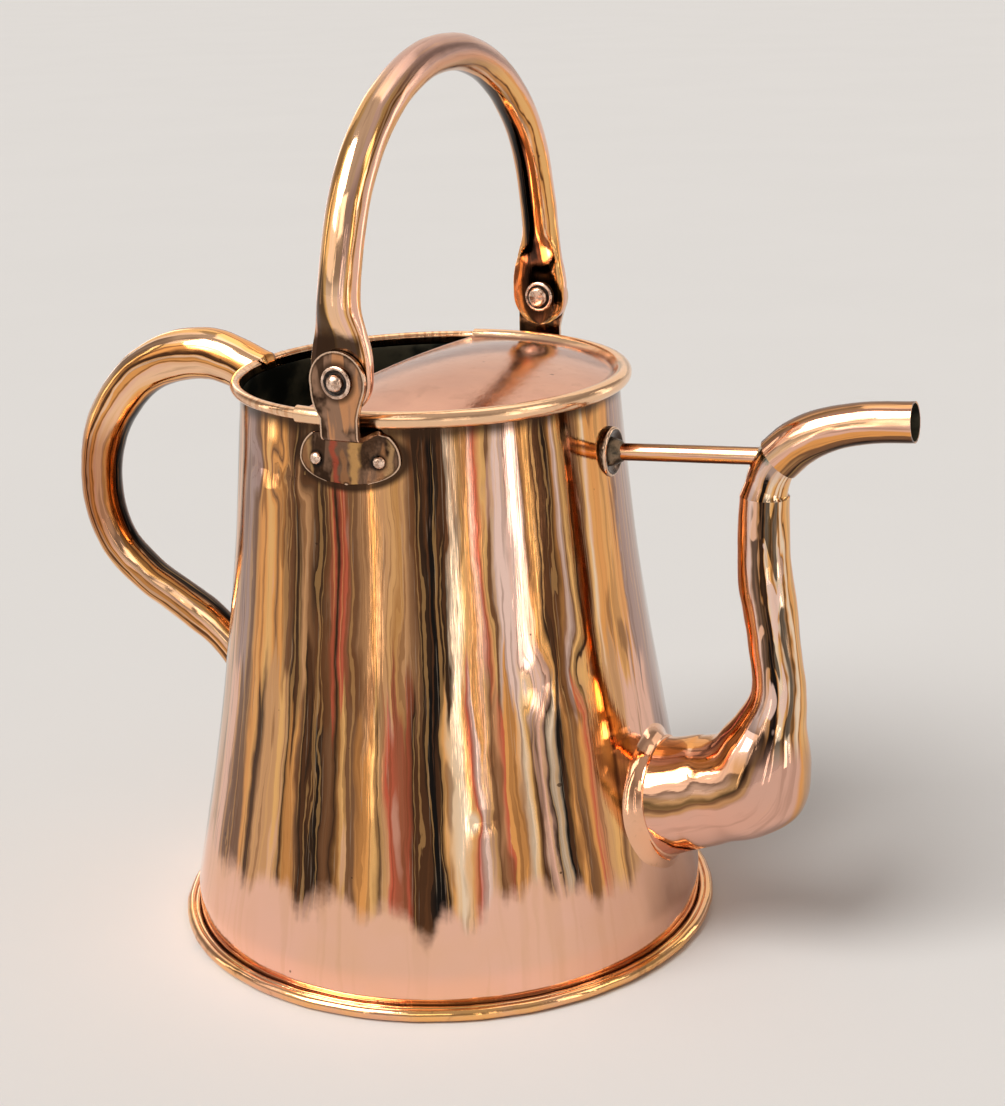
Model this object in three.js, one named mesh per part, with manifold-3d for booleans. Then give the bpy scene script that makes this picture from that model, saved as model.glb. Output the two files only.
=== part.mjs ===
// Copper watering can: a flared sheet body with a wired rim, a half hood, a swinging bail
// on two riveted ears, a rear C handle, and a hammered spout held up by a stay.
// Millimetres, +Z up, +X towards the spout, +Y to the can's left.
// The origin is on the floor, at the centre of the foot.
import * as THREE from 'three';
import { mergeVertices } from 'three/addons/utils/BufferGeometryUtils.js';
import Module from 'manifold-3d';

const wasm = await Module();
wasm.setup();

// Sheet, gaps and smoothness
const SHEET = 1.0;          // body sheet
const GAP = 0.3;            // kept between pieces that are soldered or riveted together
const ROUND_STEPS = 40;     // facets round the body
const TUBE_SIDES = 12;      // facets round a tube
const WIDE_TUBE_SIDES = 16; // facets round the spout's root

// Body: a cone drawn in a little at its waist, with an upright band at the foot
const CONE_FOOT_R = 114.5;
const CONE_TOP_R = 78.2;
const CONE_WAIST = 4.6;
const FOOT_BAND_R = 110.8;

// Rim: the wall curls out and round an iron wire
const RIM_Z = 235.7;
const RIM_R = 80.2;
const RIM_BEAD_R = 2.3;
const CURL_SHEET = 0.8;
const RIM_WIRE_R = 1.2;

// Foot: the base disc's edge is folded up over the wall's flange
const FOOT_R = 117.3;
const FOOT_HEIGHT = 5.2;
const FOOT_FOLD_R = FOOT_HEIGHT / 2;
const BASE_SHEET = 1.2;
const FOOT_LIP_R = 113.9;
const FLANGE_LOW = 1.7;
const FLANGE_HIGH = 3.3;
const FLANGE_R = 115.3;

// Hood: covers the spout half, domed, and folded over the rim bead
const HOOD_EDGE_X = -17;
const HOOD_SHEET = 0.8;
const HOOD_SEAT_Z = 235.3;
const HOOD_SEAT_R = 75.5;
const HOOD_RISE = 13.5;
const HOOD_RISE_RUN = 30;
const HOOD_HEM_SHARE = 0.18;  // how much of that rise the straight hem already has

// Bail: a round tube arched between the two ears, its ends flattened
const PIVOT_X = 10.4;
const PIVOT_Z = 253.2;
const BAIL_LEAN = THREE.MathUtils.degToRad(1.1);
const BAIL_END_Y = 90.5;
const BAIL_WALL = 1.1;
const BAIL_END_THICK = 3.0;
const BAIL_END_R = 12.5;
const PIVOT_HOLE_R = 3.2;
const PIVOT_SHANK_R = 2.8;

// Ears: a disc on a neck that steps in under the rim to a flange on the wall
const EAR_OUTER_Y = 94.4;
const EAR_THICK = 2.0;
const EAR_CUT_Y = 60;       // inside the wall, which trims the web and the flange
const EAR_DISC_R = 11.7;
const EAR_NECK_FRONT = 18.2;
const EAR_NECK_Z = 239;
const EAR_WEB_LOW = 230.2;
const EAR_WEB_HIGH = 231.8;
const EAR_FLANGE_THICK = 1.5;
const EAR_FLANGE_X = 5;
const EAR_FLANGE_HALF = 21;
const EAR_FLANGE_LOW = 210;
const EAR_RIVET_Z = 219.3;
const EAR_RIVET_X = [-8.1, 17.9];
const EAR_RIVET_HOLE_R = 1.9;
const RIGHT = { word: 'right', side: -1, neckRear: 2.2 };
const LEFT = { word: 'left', side: 1, neckRear: -1.4 };

// Washers and rivet heads at the bail's pivots
const WASHER_THICK = 1.2;
const OUTER_WASHER_R = 6.2;
const INNER_WASHER_R = 6.5;

// Rear handle: x, z and diameter along its centreline
const HANDLE_WALL = 1.0;
const HANDLE = [
  [-74, 226.5, 23], [-84, 230.6, 22.4], [-95, 235.2, 22], [-108, 237.8, 22.8],
  [-125, 235.7, 22.8], [-141, 228.8, 21.4], [-155, 216.6, 20.8], [-166.5, 199.5, 19.9],
  [-171.8, 179, 19.1], [-170.4, 160, 18.5], [-162.8, 144.4, 18.1], [-149, 132.2, 17.8],
  [-136, 124.6, 17.6], [-122.5, 116.8, 18.2], [-113.5, 110.6, 17.4], [-104.8, 102.4, 17.5],
  [-97.5, 92.5, 18], [-89.5, 80, 18.6],
];
const HANDLE_LAP = 3.6;     // how far the handle's soldered top end reaches out past the rim

// Spout: x, z and diameter along each piece's centreline.  The lower spout's stations also
// give the direction that the tube runs in there, in degrees up from +X.
const SPOUT_WALL = 1.0;
const LOWER_SPOUT = [
  [91, 61.2, 49.6, 10.5], [104, 62.8, 49.6, 11], [116, 66.3, 47.6, 15], [125, 69.6, 46.5, 27],
  [133.5, 72.3, 48, 41], [143.3, 78.8, 46.8, 54], [147.2, 90.5, 39.4, 67],
  [149.2, 102.8, 28.9, 80], [151.8, 117.4, 22.5, 88], [149.8, 136.8, 21.4, 94],
  [146.9, 157, 22.2, 96], [145.1, 176.2, 20.9, 92], [145.3, 197, 20.4, 88],
];
const LOWER_SPOUT_STEPS = 20;
const SPOUT_KNUCKLE = [
  [145, 187.5, 17.4], [145.4, 197, 17.4], [147.4, 206.2, 17.2], [151.4, 213, 17], [157, 218.2, 17],
];
const NOZZLE_WALL = 0.7;
const SPOUT_NOZZLE = [
  [150.8, 212.4, 19.2], [157.6, 218.8, 19], [166, 223.8, 18], [176, 227.3, 16.8],
  [188, 229.6, 16.2], [203.6, 230.9, 16.1],
];
const SPOUT_ROOT = [104, 62.8];
const SPOUT_ROOT_TILT = THREE.MathUtils.degToRad(10.5);
const COLLAR_BORE_R = 21.2;
const COLLAR_SLEEVE_R = 22.4;
const COLLAR_FOOT_R = 29.6;
const COLLAR_EDGE_R = 25.4;
const COLLAR_HEIGHT = 4.7;
const COLLAR_SLEEVE_REACH = 6;

// Stay: a rod from a round flange on the wall to the spout's knuckle
const STAY_R = 3.55;
const STAY_FROM = [82.8, 209.6];
const STAY_TO = [146, 212.9];
const STAY_FLANGE_R = 10.3;
const STAY_FLANGE_FACE_X = 82.3;

const v3 = (x, y, z) => new THREE.Vector3(x, y, z);
const X_AXIS = v3(1, 0, 0);
const Y_AXIS = v3(0, 1, 0);
const Z_AXIS = v3(0, 0, 1);

// A closed solid from a three.js geometry: shared corners merged, empty triangles dropped,
// faces turned outwards.
function solid(geometry) {
  const bare = geometry.clone();
  bare.deleteAttribute('normal');
  bare.deleteAttribute('uv');
  const merged = mergeVertices(bare, 1e-4);
  const place = merged.attributes.position;
  const source = merged.index.array;
  const corners = [];
  let volume = 0;
  const a = v3();
  const b = v3();
  const c = v3();
  for (let i = 0; i < source.length; i += 3) {
    const [p, q, r] = [source[i], source[i + 1], source[i + 2]];
    if (p === q || q === r || r === p) continue;
    corners.push(p, q, r);
    a.fromBufferAttribute(place, p);
    b.fromBufferAttribute(place, q);
    c.fromBufferAttribute(place, r);
    volume += a.dot(b.cross(c));
  }
  if (volume < 0) {
    for (let i = 0; i < corners.length; i += 3) {
      [corners[i + 1], corners[i + 2]] = [corners[i + 2], corners[i + 1]];
    }
  }
  return new wasm.Manifold(new wasm.Mesh({
    numProp: 3,
    vertProperties: new Float32Array(place.array),
    triVerts: new Uint32Array(corners),
  }));
}

function geometryOf(shape) {
  const mesh = shape.getMesh();
  const geometry = new THREE.BufferGeometry();
  geometry.setAttribute('position', new THREE.BufferAttribute(new Float32Array(mesh.vertProperties), 3));
  geometry.setIndex(new THREE.BufferAttribute(new Uint32Array(mesh.triVerts), 1));
  geometry.computeVertexNormals();
  return geometry;
}

// A turned solid about +Z from [radius, z] corners
function turned(outline, steps = ROUND_STEPS) {
  const corners = outline.map(([r, z]) => new THREE.Vector2(Math.max(r, 0), z));
  return solid(new THREE.LatheGeometry(corners, steps).rotateX(Math.PI / 2));
}

// A turned solid moved so that its +Z axis runs along a direction from a point
function turnedAt(outline, at, direction, steps) {
  const corners = outline.map(([r, z]) => new THREE.Vector2(Math.max(r, 0), z));
  const geometry = new THREE.LatheGeometry(corners, steps).rotateX(Math.PI / 2);
  const turn = new THREE.Quaternion().setFromUnitVectors(Z_AXIS, direction.clone().normalize());
  geometry.applyQuaternion(turn).translate(at.x, at.y, at.z);
  return solid(geometry);
}

function rod(radius, from, to, steps = 16) {
  const length = from.distanceTo(to);
  const outline = [[0, 0], [radius, 0], [radius, length], [0, length]];
  return turnedAt(outline, from, to.clone().sub(from), steps);
}

function box(low, high) {
  const size = high.clone().sub(low);
  const middle = low.clone().add(high).multiplyScalar(0.5);
  return solid(new THREE.BoxGeometry(size.x, size.y, size.z).translate(middle.x, middle.y, middle.z));
}

// A flat outline in x and z, given thickness between two values of y
function slab(shape, yLow, yHigh, curveSegments = 7) {
  const depth = yHigh - yLow;
  const geometry = new THREE.ExtrudeGeometry(shape, { depth, bevelEnabled: false, curveSegments });
  return solid(geometry.rotateX(Math.PI / 2).translate(0, yHigh, 0));
}

// A closed skin through rings of points, with a flat cap at each end
function loft(rings) {
  const count = rings[0].length;
  const positions = [];
  rings.forEach((ring) => ring.forEach((p) => positions.push(p.x, p.y, p.z)));
  const index = [];
  for (let i = 0; i + 1 < rings.length; i += 1) {
    for (let j = 0; j < count; j += 1) {
      const k = (j + 1) % count;
      const [a, b, c, d] = [i * count + j, i * count + k, (i + 1) * count + j, (i + 1) * count + k];
      index.push(a, b, d, a, d, c);
    }
  }
  [0, rings.length - 1].forEach((i) => {
    const middle = rings[i].reduce((sum, p) => sum.add(p), v3()).divideScalar(count);
    const centre = positions.length / 3;
    positions.push(middle.x, middle.y, middle.z);
    for (let j = 0; j < count; j += 1) {
      const k = (j + 1) % count;
      if (i === 0) index.push(centre, i * count + k, i * count + j);
      else index.push(centre, i * count + j, i * count + k);
    }
  });
  const geometry = new THREE.BufferGeometry();
  geometry.setAttribute('position', new THREE.Float32BufferAttribute(positions, 3));
  geometry.setIndex(index);
  return solid(geometry);
}

// A smooth curve whose parameter steps evenly from station to station
function evenCurve(points) {
  return new THREE.CatmullRomCurve3(points, false, 'catmullrom', 0.5);
}

// A filled tube in the XZ plane through stations of x, z, diameter and, where the tube turns
// sharply, its direction.  grow changes its radius, and reach carries both ends on, straight.
function tube(stations, { grow = 0, reach = 0, steps = stations.length, sides = TUBE_SIDES } = {}) {
  const line = evenCurve(stations.map(([x, z]) => v3(x, 0, z)));
  const form = evenCurve(stations.map(([, , size, tilt]) => v3(size, tilt ?? 0, 0)));
  const directed = stations[0].length > 3;
  const ring = (t, shift) => {
    const { x: size, y: degrees } = form.getPoint(t);
    const tilt = THREE.MathUtils.degToRad(degrees);
    const along = directed ? v3(Math.cos(tilt), 0, Math.sin(tilt)) : line.getTangent(t);
    const across = v3(-along.z, 0, along.x);
    const centre = line.getPoint(t).addScaledVector(along, shift);
    const radius = size / 2 + grow;
    return Array.from({ length: sides }, (_, j) => {
      const angle = (2 * Math.PI * (j + 0.5)) / sides;
      return centre.clone()
        .addScaledVector(across, radius * Math.cos(angle))
        .addScaledVector(Y_AXIS, radius * Math.sin(angle));
    });
  };
  const rings = Array.from({ length: steps + 1 }, (_, i) => ring(i / steps, 0));
  if (reach > 0) {
    rings.unshift(ring(0, -reach));
    rings.push(ring(1, reach));
  }
  return loft(rings);
}

function pipe(stations, wall, options = {}) {
  return tube(stations, options).subtract(tube(stations, { ...options, grow: -wall, reach: 1 }));
}

// The wall's outer radius at a height
function wallRadius(z) {
  const k = z / RIM_Z;
  const cone = CONE_FOOT_R + (CONE_TOP_R - CONE_FOOT_R) * k - 4 * CONE_WAIST * k * (1 - k);
  return Math.min(FOOT_BAND_R, cone);
}

const WALL_HEIGHTS = [16, 50, 90, 135, 185];
const WALL_TOP_Z = RIM_Z - RIM_BEAD_R - 0.6;

// Everything inside the wall's outer face, moved out by an offset
function insideWall(offset) {
  const side = [5, ...WALL_HEIGHTS, WALL_TOP_Z].map((z) => [wallRadius(z) + offset, z]);
  return turned([[0, 5], ...side, [0, WALL_TOP_Z]]);
}

// Points of an arc in the r-z plane, angles in degrees from +r
function arc(centre, radius, from, to, steps) {
  return Array.from({ length: steps + 1 }, (_, i) => {
    const angle = THREE.MathUtils.degToRad(from + ((to - from) * i) / steps);
    return [centre[0] + radius * Math.cos(angle), centre[1] + radius * Math.sin(angle)];
  });
}

function spoutRootRod(radius, back, forward) {
  const along = v3(Math.cos(SPOUT_ROOT_TILT), 0, Math.sin(SPOUT_ROOT_TILT));
  const root = v3(SPOUT_ROOT[0], 0, SPOUT_ROOT[1]);
  const from = root.clone().addScaledVector(along, -back);
  const to = root.clone().addScaledVector(along, forward);
  return rod(radius, from, to, 24);
}

// Where an ear's rivet crosses the wall, and the wall's outward direction there
function earRivetSeat(x, side) {
  const radius = wallRadius(EAR_RIVET_Z);
  const at = v3(x, side * Math.sqrt(radius * radius - x * x), EAR_RIVET_Z);
  const slope = (wallRadius(EAR_RIVET_Z + 1) - wallRadius(EAR_RIVET_Z - 1)) / 2;
  const out = v3(at.x / radius, at.y / radius, -slope).normalize();
  return { at, out };
}

const EAR_RIVET_SEATS = [-1, 1].flatMap((side) => EAR_RIVET_X.map((x) => earRivetSeat(x, side)));

function earRivetHoles() {
  return EAR_RIVET_SEATS.map(({ at, out }) => rod(
    EAR_RIVET_HOLE_R,
    at.clone().addScaledVector(out, -6),
    at.clone().addScaledVector(out, 6),
    12,
  ));
}

function bodyShell() {
  const bead = [RIM_R, RIM_Z];
  const outside = [...WALL_HEIGHTS, WALL_TOP_Z].map((z) => [wallRadius(z), z]);
  const inside = WALL_HEIGHTS.map((z) => [wallRadius(z) - SHEET, z]).reverse();
  const outline = [
    [FLANGE_R, FLANGE_LOW], [FLANGE_R, FLANGE_HIGH], [FOOT_BAND_R + 0.8, FLANGE_HIGH],
    [FOOT_BAND_R, FLANGE_HIGH + 1.2], ...outside,
    ...arc(bead, RIM_BEAD_R - CURL_SHEET, 195, -75, 5),
    ...arc(bead, RIM_BEAD_R, -75, 190, 6),
    ...inside, [FOOT_BAND_R - SHEET, FLANGE_LOW],
  ];
  outline.push(outline[0]);
  let body = turned(outline);
  body = body.subtract(spoutRootRod(COLLAR_BORE_R, 24, 10));
  earRivetHoles().forEach((hole) => { body = body.subtract(hole); });
  return body;
}

function baseDisc() {
  const fold = [FOOT_R - FOOT_FOLD_R, FOOT_FOLD_R];
  const outline = [
    [0, 0], ...arc(fold, FOOT_FOLD_R, -90, 90, 4),
    [FOOT_LIP_R, FOOT_HEIGHT - 0.1], [FOOT_LIP_R, FOOT_HEIGHT - BASE_SHEET - 0.1],
    ...arc(fold, FOOT_FOLD_R - BASE_SHEET, 90, -90, 3), [0, BASE_SHEET],
  ];
  return turned(outline);
}

function rimWire() {
  return solid(new THREE.TorusGeometry(RIM_R, RIM_WIRE_R, 6, ROUND_STEPS).translate(0, 0, RIM_Z));
}

// The hood's height above its seat: nothing at the rim and little at its straight edge.  It
// runs on behind the edge, where it is cut away.
function hoodRise(x, y) {
  const inFromRim = 1 - (x * x + y * y) / (HOOD_SEAT_R * HOOD_SEAT_R);
  const behindEdge = Math.exp(-Math.max(x - HOOD_EDGE_X, -HOOD_RISE_RUN) / HOOD_RISE_RUN);
  const inFromEdge = 1 - (1 - HOOD_HEM_SHARE) * behindEdge;
  return HOOD_RISE * Math.max(inFromRim, 0) * inFromEdge;
}

function hood() {
  const bead = [RIM_R, RIM_Z];
  const outer = RIM_BEAD_R + GAP + HOOD_SHEET;
  const plate = [3, 22, 42, 60, HOOD_SEAT_R];
  const profile = [
    ...plate.map((r) => [r, HOOD_SEAT_Z + HOOD_SHEET]),
    ...arc(bead, outer, 150, -105, 6),
    ...arc(bead, outer - HOOD_SHEET, -105, 155, 5),
    ...plate.map((r) => [r, HOOD_SEAT_Z]).reverse(),
  ];
  const rings = profile.map(([r, z]) => Array.from({ length: ROUND_STEPS }, (_, j) => {
    const angle = (2 * Math.PI * j) / ROUND_STEPS;
    const [x, y] = [r * Math.cos(angle), r * Math.sin(angle)];
    return v3(x, y, z + hoodRise(x, y));
  }));
  const reach = RIM_R + 20;
  const handleSide = box(v3(-reach, -reach, RIM_Z - 20), v3(HOOD_EDGE_X, reach, RIM_Z + 40));
  return loft(rings).subtract(handleSide);
}

// The ear's upright plate: a disc round the pivot on a neck, outlined in x and z
function earPlate(neckRear) {
  const start = THREE.MathUtils.degToRad(190);
  const end = THREE.MathUtils.degToRad(-22);
  const shoulder = EAR_NECK_Z + 5;
  const shape = new THREE.Shape();
  shape.moveTo(neckRear, EAR_WEB_LOW);
  shape.lineTo(neckRear, EAR_NECK_Z);
  shape.quadraticCurveTo(
    PIVOT_X - EAR_DISC_R,
    shoulder,
    PIVOT_X + EAR_DISC_R * Math.cos(start),
    PIVOT_Z + EAR_DISC_R * Math.sin(start),
  );
  shape.absarc(PIVOT_X, PIVOT_Z, EAR_DISC_R, start, end, true);
  shape.quadraticCurveTo(EAR_NECK_FRONT + 1, shoulder, EAR_NECK_FRONT, EAR_NECK_Z);
  shape.lineTo(EAR_NECK_FRONT, EAR_WEB_LOW);
  return shape;
}

// The flange on the wall, outlined in x and z: round at its ends, shorter along its top
function earFlange() {
  const [rear, front] = [EAR_FLANGE_X - EAR_FLANGE_HALF, EAR_FLANGE_X + EAR_FLANGE_HALF];
  const endZ = EAR_FLANGE_LOW + 8.5;
  const upperZ = EAR_FLANGE_LOW + 17;
  const shape = new THREE.Shape();
  shape.moveTo(EAR_FLANGE_X, EAR_FLANGE_LOW);
  shape.quadraticCurveTo(front - 2, EAR_FLANGE_LOW + 1, front, endZ);
  shape.quadraticCurveTo(front + 0.5, upperZ, front - 8, EAR_WEB_HIGH);
  shape.lineTo(rear + 10.5, EAR_WEB_HIGH);
  shape.quadraticCurveTo(rear - 0.5, upperZ, rear, endZ);
  shape.quadraticCurveTo(rear + 2, EAR_FLANGE_LOW + 1, EAR_FLANGE_X, EAR_FLANGE_LOW);
  return shape;
}

// side is -1 for the can's right and 1 for its left
function between(side, y1, y2) {
  return side < 0 ? [-y2, -y1] : [y1, y2];
}

function ear({ side, neckRear }) {
  const plate = slab(earPlate(neckRear), ...between(side, EAR_OUTER_Y - EAR_THICK, EAR_OUTER_Y), 5);
  const [low, high] = between(side, EAR_CUT_Y, EAR_OUTER_Y);
  const web = box(v3(neckRear, low, EAR_WEB_LOW), v3(EAR_NECK_FRONT, high, EAR_WEB_HIGH));
  const flange = slab(earFlange(), low, high, 5).intersect(insideWall(GAP + EAR_FLANGE_THICK));
  const hole = rod(PIVOT_HOLE_R, v3(PIVOT_X, side * 80, PIVOT_Z), v3(PIVOT_X, side * 100, PIVOT_Z), 12);
  let piece = plate.add(web).add(flange).subtract(insideWall(GAP)).subtract(hole);
  earRivetHoles().forEach((rivetHole) => { piece = piece.subtract(rivetHole); });
  return piece;
}

function earRivet({ at, out }) {
  const outerFace = GAP + EAR_FLANGE_THICK + GAP;
  const innerFace = -SHEET - GAP;
  const outline = [
    [0, innerFace - 1.2], [2.3, innerFace - 1.0], [2.8, innerFace], [1.5, innerFace],
    [1.5, outerFace], [2.3, outerFace], [2.0, outerFace + 0.9], [1.1, outerFace + 1.5],
    [0, outerFace + 1.6],
  ];
  return turnedAt(outline, at, out, 10);
}

// Stations of one half of the bail, from its end up to the top: how far out from the
// middle, how high above the pivot, half its width fore and aft, half its thickness
const BAIL_HALF = [
  [BAIL_END_Y, -12.4, 2.2, 1.5], [BAIL_END_Y, -10.8, 6.4, 1.5], [BAIL_END_Y, -7.5, 10, 1.5],
  [BAIL_END_Y, 0, BAIL_END_R, 1.5], [BAIL_END_Y, 7, 12.2, 1.5], [BAIL_END_Y, 12.6, 11.2, 1.7],
  [BAIL_END_Y, 21, 9.6, 5.2], [90.6, 30, 8.3, 7.9], [87.4, 45, 8, 8], [80.6, 64.4, 7.9, 7.9],
  [70.6, 80, 7.9, 7.9], [55.6, 94, 7.8, 7.8], [38, 104.4, 7.7, 7.7], [18.6, 110.8, 7.6, 7.6],
];
const BAIL_TOP = [0, 112.6, 7.6, 7.6];

function bailRings(stations, grow, steps) {
  const line = evenCurve(stations.map(([y, h]) => v3(0, y, h)));
  const size = evenCurve(stations.map(([, , a, b]) => v3(a, b, 0)));
  return Array.from({ length: steps + 1 }, (_, i) => {
    const t = i / steps;
    const p = line.getPoint(t);
    const along = line.getTangent(t);
    const across = v3(0, -along.z, along.y);
    const { x: half, y: thick } = size.getPoint(t);
    return Array.from({ length: TUBE_SIDES }, (_, j) => {
      const angle = (2 * Math.PI * (j + 0.5)) / TUBE_SIDES;
      return p.clone()
        .addScaledVector(X_AXIS, Math.max(half + grow, 0.3) * Math.cos(angle))
        .addScaledVector(across, Math.max(thick + grow, 0.3) * Math.sin(angle));
    });
  });
}

function bail() {
  const mirrored = (half) => half.map(([y, ...rest]) => [-y, ...rest]).reverse();
  const whole = [...BAIL_HALF, BAIL_TOP, ...mirrored(BAIL_HALF)];
  const hollowHalf = BAIL_HALF.filter(([, h]) => h > -1);
  const hollow = [...hollowHalf, BAIL_TOP, ...mirrored(hollowHalf)];
  let piece = loft(bailRings(whole, 0, whole.length - 1));
  piece = piece.subtract(loft(bailRings(hollow, -BAIL_WALL, hollow.length - 1)));
  [-1, 1].forEach((side) => {
    piece = piece.subtract(rod(PIVOT_HOLE_R, v3(0, side * 70, 0), v3(0, side * 100, 0), 12));
  });
  return piece;
}

// A rivet through ear, bail and washers: its inner head is flat, its outer head domed
function pivotRivet(side) {
  const inner = BAIL_END_Y - BAIL_END_THICK / 2 - GAP - WASHER_THICK - GAP;
  const outer = EAR_OUTER_Y + GAP + WASHER_THICK + GAP;
  const outline = [
    [0, inner - 1.7], [3.4, inner - 1.7], [4.3, inner - 1.1], [4.3, inner], [PIVOT_SHANK_R, inner],
    [PIVOT_SHANK_R, outer], [3.4, outer], [3.2, outer + 1], [1.9, outer + 1.9], [0, outer + 2.2],
  ];
  return turnedAt(outline, v3(PIVOT_X, 0, PIVOT_Z), v3(0, side, 0), 12);
}

function washer(radius, side, y1) {
  const y2 = y1 + WASHER_THICK;
  const outline = [
    [PIVOT_HOLE_R, y1], [radius, y1], [radius, y2 - 0.4], [radius - 0.5, y2],
    [PIVOT_HOLE_R, y2], [PIVOT_HOLE_R, y1],
  ];
  return turnedAt(outline, v3(PIVOT_X, 0, PIVOT_Z), v3(0, side, 0), 16);
}

// The handle's top end laps over the rim bead, where solder fills it
function rearHandle() {
  const inner = RIM_R - 2;
  const above = RIM_Z + 30;
  const clearOfRim = turned([
    [0, 5], ...[5, ...WALL_HEIGHTS, WALL_TOP_Z].map((z) => [wallRadius(z) + GAP, z]),
    ...arc([RIM_R, RIM_Z], RIM_BEAD_R + GAP, -100, 110, 6), [inner, above], [0, above],
  ]);
  const below = RIM_Z - 5;
  const outer = RIM_R + HANDLE_LAP;
  const lap = turned([[inner, below], [outer, below], [outer, above], [inner, above], [inner, below]]);
  return pipe(HANDLE, HANDLE_WALL).add(tube(HANDLE).intersect(lap)).subtract(clearOfRim);
}

// The collar is soldered to the wall, and the spout's root slides over its sleeve
function spoutCollar() {
  const along = v3(Math.cos(SPOUT_ROOT_TILT), 0, Math.sin(SPOUT_ROOT_TILT));
  const root = v3(SPOUT_ROOT[0], 0, SPOUT_ROOT[1]);
  const back = 12;
  const flare = turnedAt(
    [[0, 0], [COLLAR_FOOT_R + 3, 0], [COLLAR_FOOT_R, back - 2], [COLLAR_EDGE_R, back + 6], [0, back + 6]],
    root.clone().addScaledVector(along, -back),
    along,
    24,
  );
  return flare.intersect(insideWall(COLLAR_HEIGHT))
    .add(spoutRootRod(COLLAR_SLEEVE_R, 16, COLLAR_SLEEVE_REACH))
    .subtract(insideWall(GAP))
    .subtract(spoutRootRod(COLLAR_BORE_R, 24, COLLAR_SLEEVE_REACH + 2));
}

function lowerSpout() {
  const form = { sides: WIDE_TUBE_SIDES, steps: LOWER_SPOUT_STEPS };
  return pipe(LOWER_SPOUT, SPOUT_WALL, form).subtract(insideWall(COLLAR_HEIGHT + GAP));
}

function stayRod() {
  return rod(STAY_R, v3(STAY_FROM[0], 0, STAY_FROM[1]), v3(STAY_TO[0], 0, STAY_TO[1]), 12)
    .subtract(tube(SPOUT_KNUCKLE, { grow: GAP }))
    .subtract(tube(SPOUT_NOZZLE, { grow: GAP, reach: GAP }));
}

function stayFlange() {
  const [x, z] = STAY_FROM;
  const edge = STAY_FLANGE_FACE_X - 0.7;
  const outline = [
    [0, 70], [STAY_FLANGE_R, 70], [STAY_FLANGE_R, edge], [STAY_FLANGE_R - 1.2, STAY_FLANGE_FACE_X],
    [0, STAY_FLANGE_FACE_X],
  ];
  return turnedAt(outline, v3(0, 0, z - 0.2), X_AXIS, 20).subtract(insideWall(GAP));
}

// Finishes: bright copper, browner ears and rivets, and the iron wire inside the rim
const copper = (colour, roughness) => ({ color: colour, roughness, metalness: 1 });
const BRIGHT = copper(0xc98a66, 0.14);
const HANDLE_COPPER = copper(0xd0926a, 0.12);
const BROWN = copper(0x8a6148, 0.3);
const RIVET = copper(0xb78a6a, 0.3);
const IRON = { color: 0x4a4643, roughness: 0.6, metalness: 1 };

const can = new THREE.Group();

function place(name, shape, finish, parent = can) {
  const mesh = new THREE.Mesh(geometryOf(shape), new THREE.MeshStandardMaterial(finish));
  mesh.name = name;
  parent.add(mesh);
  return mesh;
}

place('body_shell', bodyShell(), BRIGHT);
place('base_disc', baseDisc(), BRIGHT);
place('rim_wire', rimWire(), IRON);
place('hood', hood(), BRIGHT);
place('rear_handle', rearHandle(), HANDLE_COPPER);
place('spout_collar', spoutCollar(), BRIGHT);
place('lower_spout', lowerSpout(), BRIGHT);
place('spout_knuckle', pipe(SPOUT_KNUCKLE, SPOUT_WALL), BRIGHT);
place('spout_nozzle', pipe(SPOUT_NOZZLE, NOZZLE_WALL), HANDLE_COPPER);
place('stay_rod', stayRod(), HANDLE_COPPER);
place('stay_flange', stayFlange(), BROWN);

[RIGHT, LEFT].forEach((flank, pair) => {
  const { word, side } = flank;
  place(`${word}_ear`, ear(flank), BROWN);
  place(`${word}_rear_ear_rivet`, earRivet(EAR_RIVET_SEATS[2 * pair]), RIVET);
  place(`${word}_front_ear_rivet`, earRivet(EAR_RIVET_SEATS[2 * pair + 1]), RIVET);
  place(`${word}_pivot_rivet`, pivotRivet(side), RIVET);
  place(`${word}_outer_washer`, washer(OUTER_WASHER_R, side, EAR_OUTER_Y + GAP), RIVET);
  const innerWasherY = BAIL_END_Y - BAIL_END_THICK / 2 - GAP - WASHER_THICK;
  place(`${word}_inner_washer`, washer(INNER_WASHER_R, side, innerWasherY), RIVET);
});

// The bail stands in its own group on the pivot line, leaning a little to the spout
const bailGroup = new THREE.Group();
bailGroup.position.set(PIVOT_X, 0, PIVOT_Z);
bailGroup.rotation.y = BAIL_LEAN;
can.add(bailGroup);
place('bail', bail(), HANDLE_COPPER, bailGroup);

export default can;
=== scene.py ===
"""Copper watering can: the finish and the fine surface of every piece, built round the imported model.

Lengths are millimetres in the model's own frame until a mesh is made, which is in metres.
+X is towards the spout, +Z up, and the origin is on the floor at the centre of the foot.
"""
import math

import bmesh
import bpy
import numpy as np
from mathutils import Matrix, Vector, noise


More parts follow.
